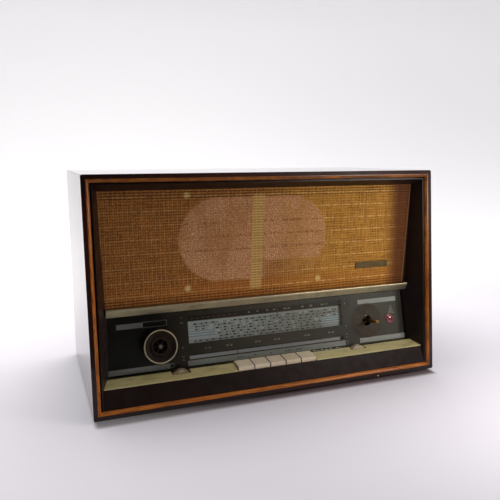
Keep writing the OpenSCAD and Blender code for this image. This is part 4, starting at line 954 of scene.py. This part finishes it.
# %% Digits as flat shapes
def digit_shapes(characters, weight):
    """For each character its points and faces, one unit high, from Blender's own font."""
    shapes = {}
    for c in characters:
        letter = bpy.data.curves.new("digit", "FONT")
        letter.body, letter.offset, letter.resolution_u = c, weight, 2
        holder = bpy.data.objects.new("digit", letter)
        show(holder)
        flat = bpy.data.meshes.new_from_object(holder.evaluated_get(bpy.context.evaluated_depsgraph_get()))
        shapes[c] = ([(p.co.x, p.co.y) for p in flat.vertices], [tuple(q.vertices) for q in flat.polygons])
        bpy.data.objects.remove(holder)
        bpy.data.meshes.remove(flat)
        bpy.data.curves.remove(letter)
    return shapes


DIGITS = digit_shapes("0123456789-", 0.022)
# Height of a digit and width of its place, as shares of the font's size
DIGIT_HEIGHT, DIGIT_STEP = 0.70, 0.56
# How far behind the front of the glass the ink lies, and the ink of the lowest row
INK_W, LOWEST_W = 3.03, 2.97


def print_number(shape, text, u, v, height, w=INK_W):
    """Prints a number centred at (u, v) on the dial."""
    size = height / DIGIT_HEIGHT
    start = u - size * DIGIT_STEP * len(text) / 2
    for i, c in enumerate(text):
        corners, polygons = DIGITS[c]
        verts = [shape.verts.new(on_dial(start + size * (DIGIT_STEP * i + x), v - height / 2 + size * y, w))
                 for x, y in corners]
        for q in polygons:
            shape.faces.new([verts[k] for k in q])


def print_bar(shape, u0, u1, v0, v1):
    corners = [shape.verts.new(on_dial(u, v, INK_W)) for u, v in window(u0, u1, v0, v1)]
    shape.faces.new(corners)


def ink(name, colour, colour_2, shine=0.0):
    """Printing ink in two close tones; shine is how strongly it glows with painted light, as if light came
    through it.
    """
    f = Finish(name, roughness=0.55)
    if shine:
        painted_back_light(f, shine)
    f.colour(f.mix(f.remap(f.spots(2.0, detail=3), 0.35, 0.65), colour, colour_2))
    f.relief(f.spots(0.5, detail=1), 0.005, 0.2)
    return f.material


# The white ink glows a little: painted light, as for the pale sheet
INK = {"black": ink("black_ink", (8, 8, 8), (18, 17, 17)),
       "grey": ink("grey_ink", (84, 86, 86), (116, 118, 116)),
       "red": ink("red_ink", (118, 34, 30), (142, 52, 44)),
       "pale": ink("pale_ink", (206, 198, 184), (226, 220, 206)),
       "rust": ink("rust_ink", (150, 96, 74), (170, 116, 92)),
       "white": ink("white_ink", (224, 226, 224), (240, 240, 236), 0.2)}

# %% The rows of the scale
pick = random.Random(7)
prints = {name: bmesh.new() for name in INK}
# Height of the lowest row on the dial, the step to the next, half a bar and the height of a number, in mm
ROW_FIRST, ROW_STEP, HALF_BAR, NUMBER = 37.3, 4.6, 1.05, 2.3
SCALES = [numbers.split() for numbers in (
    "150 170 190 210 230 250 270 290 310 340 370 400",
    "510 530 550 600 650 700 750 800 900 1000 1100 1200 1400 1600",
    "5 6 7 8 9 10 11 12 13 14 15 16 17 18",
    "19 25 31 41 49 60 75 90",
    "2 4 8 12 16 20 24 28 32",
    "200 300 400 500 600 700 800",
    "88 90 92 94 96 98 100 102 104")]
for row, numbers in enumerate(SCALES):
    v = ROW_FIRST + row * ROW_STEP
    print_bar(prints["grey"], -140.6, 140.6, v - 2.3, v - 2.1)
    # Some rows start or end short of the blue lines
    u = (-93.0 if row in (1, 2, 3) else -134.0) + pick.uniform(0, 5)
    stop = 98.0 if row in (0, 1, 2, 3) else 132.0
    while u < stop:
        where = pick.choices(("black", "red", "white", "grey"), (0.68, 0.03, 0.17, 0.12))[0]
        lift, wide = pick.uniform(-0.4, 0.4), pick.uniform(3.2, 6.0)
        print_bar(prints[where], u, u + wide, v + lift - HALF_BAR, v + lift + HALF_BAR)
        print_number(prints["grey"], pick.choice(numbers), u + wide + 3.4, v + lift, NUMBER)
        u += wide + pick.uniform(5.0, 8.5)

# %% Small rows round the scale
for i in range(9):
    print_number(prints["rust"], str(87 + i) + "0", -134 + i * 9.2, 74.4, NUMBER)
for u, text in ((-35, "96"), (-19.5, "97"), (-1.7, "98"), (11, "99"), (34.8, "100-101"), (64.3, "102"),
                (81, "103"), (107, "104-108")):
    print_number(prints["pale"], text, u, 75.2, 2.5)
for u, text in ((-110.6, "21-24"), (-73.6, "25-28"), (-22.6, "29-32"), (12.9, "33-36"), (69.9, "37-40"),
                (117.0, "41-44")):
    print_number(prints["pale"], text, u, 24.6, 2.8)
for v, text in ((77.4, "88"), (69.2, "104"), (29.2, "49"), (14.8, "16"), (9.3, "52")):
    print_number(prints["pale"], text, -152.0, v, 2.4)
for v, text in ((79.9, "1"), (72.5, "2"), (32.6, "3"), (17.5, "4"), (12.6, "5")):
    print_number(prints["pale"], text, 148.4, v, 2.6)
print_bar(prints["black"], -141.5, 141.5, 15.2, 16.4)
for u, text in ((-56.2, "20-24"), (-28.7, "28"), (-0.4, "32"), (31.0, "36-40"), (52.0, "44-48")):
    print_number(prints["black"], text, u, 2.6, 2.6, LOWEST_W)
print_bar(prints["black"], 107.0, 141.0, 73.4, 76.0)
# The small fan over the lamp: each row down has one bar more
fan_u, fan_v, fan_step = 244.2, 60.0, 2.8
for i in range(6):
    for k in range(-i, i + 1, 2):
        u, v = fan_u + k * 1.15, fan_v - i * fan_step
        print_bar(prints["pale"], u - 0.6, u + 0.6, v, v + 0.9)
# An upright pair of bars on the right and a box at the left wheel
for u in (147.4, 149.8):
    print_bar(prints["grey"], u, u + 1.3, -0.4, 7.0)
for u0, u1, v0, v1 in ((-174.4, -167.2, 5.6, 6.6), (-174.4, -167.2, -0.6, 0.4), (-174.4, -173.4, -0.6, 6.6),
                       (-168.2, -167.2, -0.6, 6.6)):
    print_bar(prints["pale"], u0, u1, v0, v1)

for name, shape in prints.items():
    print(name, "ink:", len(shape.faces), "faces")
    for p in shape.faces:
        p.normal_update()
        if p.normal.y > 0:
            p.normal_flip()
    add_piece("print_" + name, shape, INK[name])

# %% Frame of the indicator window
FRAME_W, FRAME_T = 3.05, 0.3
outside, inside = window(-214.6, -175.4, 67.6, 77.0), window(-213.6, -176.4, 68.6, 76.0)
eye_frame = cut_sheet(outside, [inside], FRAME_W, FRAME_T)
add_piece("eye_window_frame", eye_frame, STUFF["strip"])


# %% [markdown]
# ## Wear round the bare shaft
# For years a knob turned on the right hand shaft, and it rubbed a faint brown ring on the glass. The ring
# is a very thin film, mostly see-through. The knob on the left has lost its cap, so its open hub with six
# ribs shows, and that is in the solid.

# %% The rubbed ring
def rub_film():
    f = Finish("rubbed_ring", roughness=0.7)
    patchy = f.remap(f.spots(14, detail=3), 0.35, 0.65, 0.1, 0.24)
    f.colour(f.mix(f.spots(4, detail=3), (64, 48, 30), (92, 72, 46)))
    f.put(patchy, "Alpha")
    return f.material


# Widths of the film, then how far it starts behind the front of the glass and how thick it is
RUB_OUTER, RUB_INNER, RUB_STEPS = 62.4, 22.0, 96
RUB_W, RUB_T = -0.04, 0.03
rubbed = cut_sheet(round_hole(SHAFT_U, SHAFT_V, RUB_OUTER, RUB_STEPS),
                   [round_hole(SHAFT_U, SHAFT_V, RUB_INNER, RUB_STEPS)], RUB_W, RUB_T)
add_piece("rubbed_ring", rubbed, rub_film())
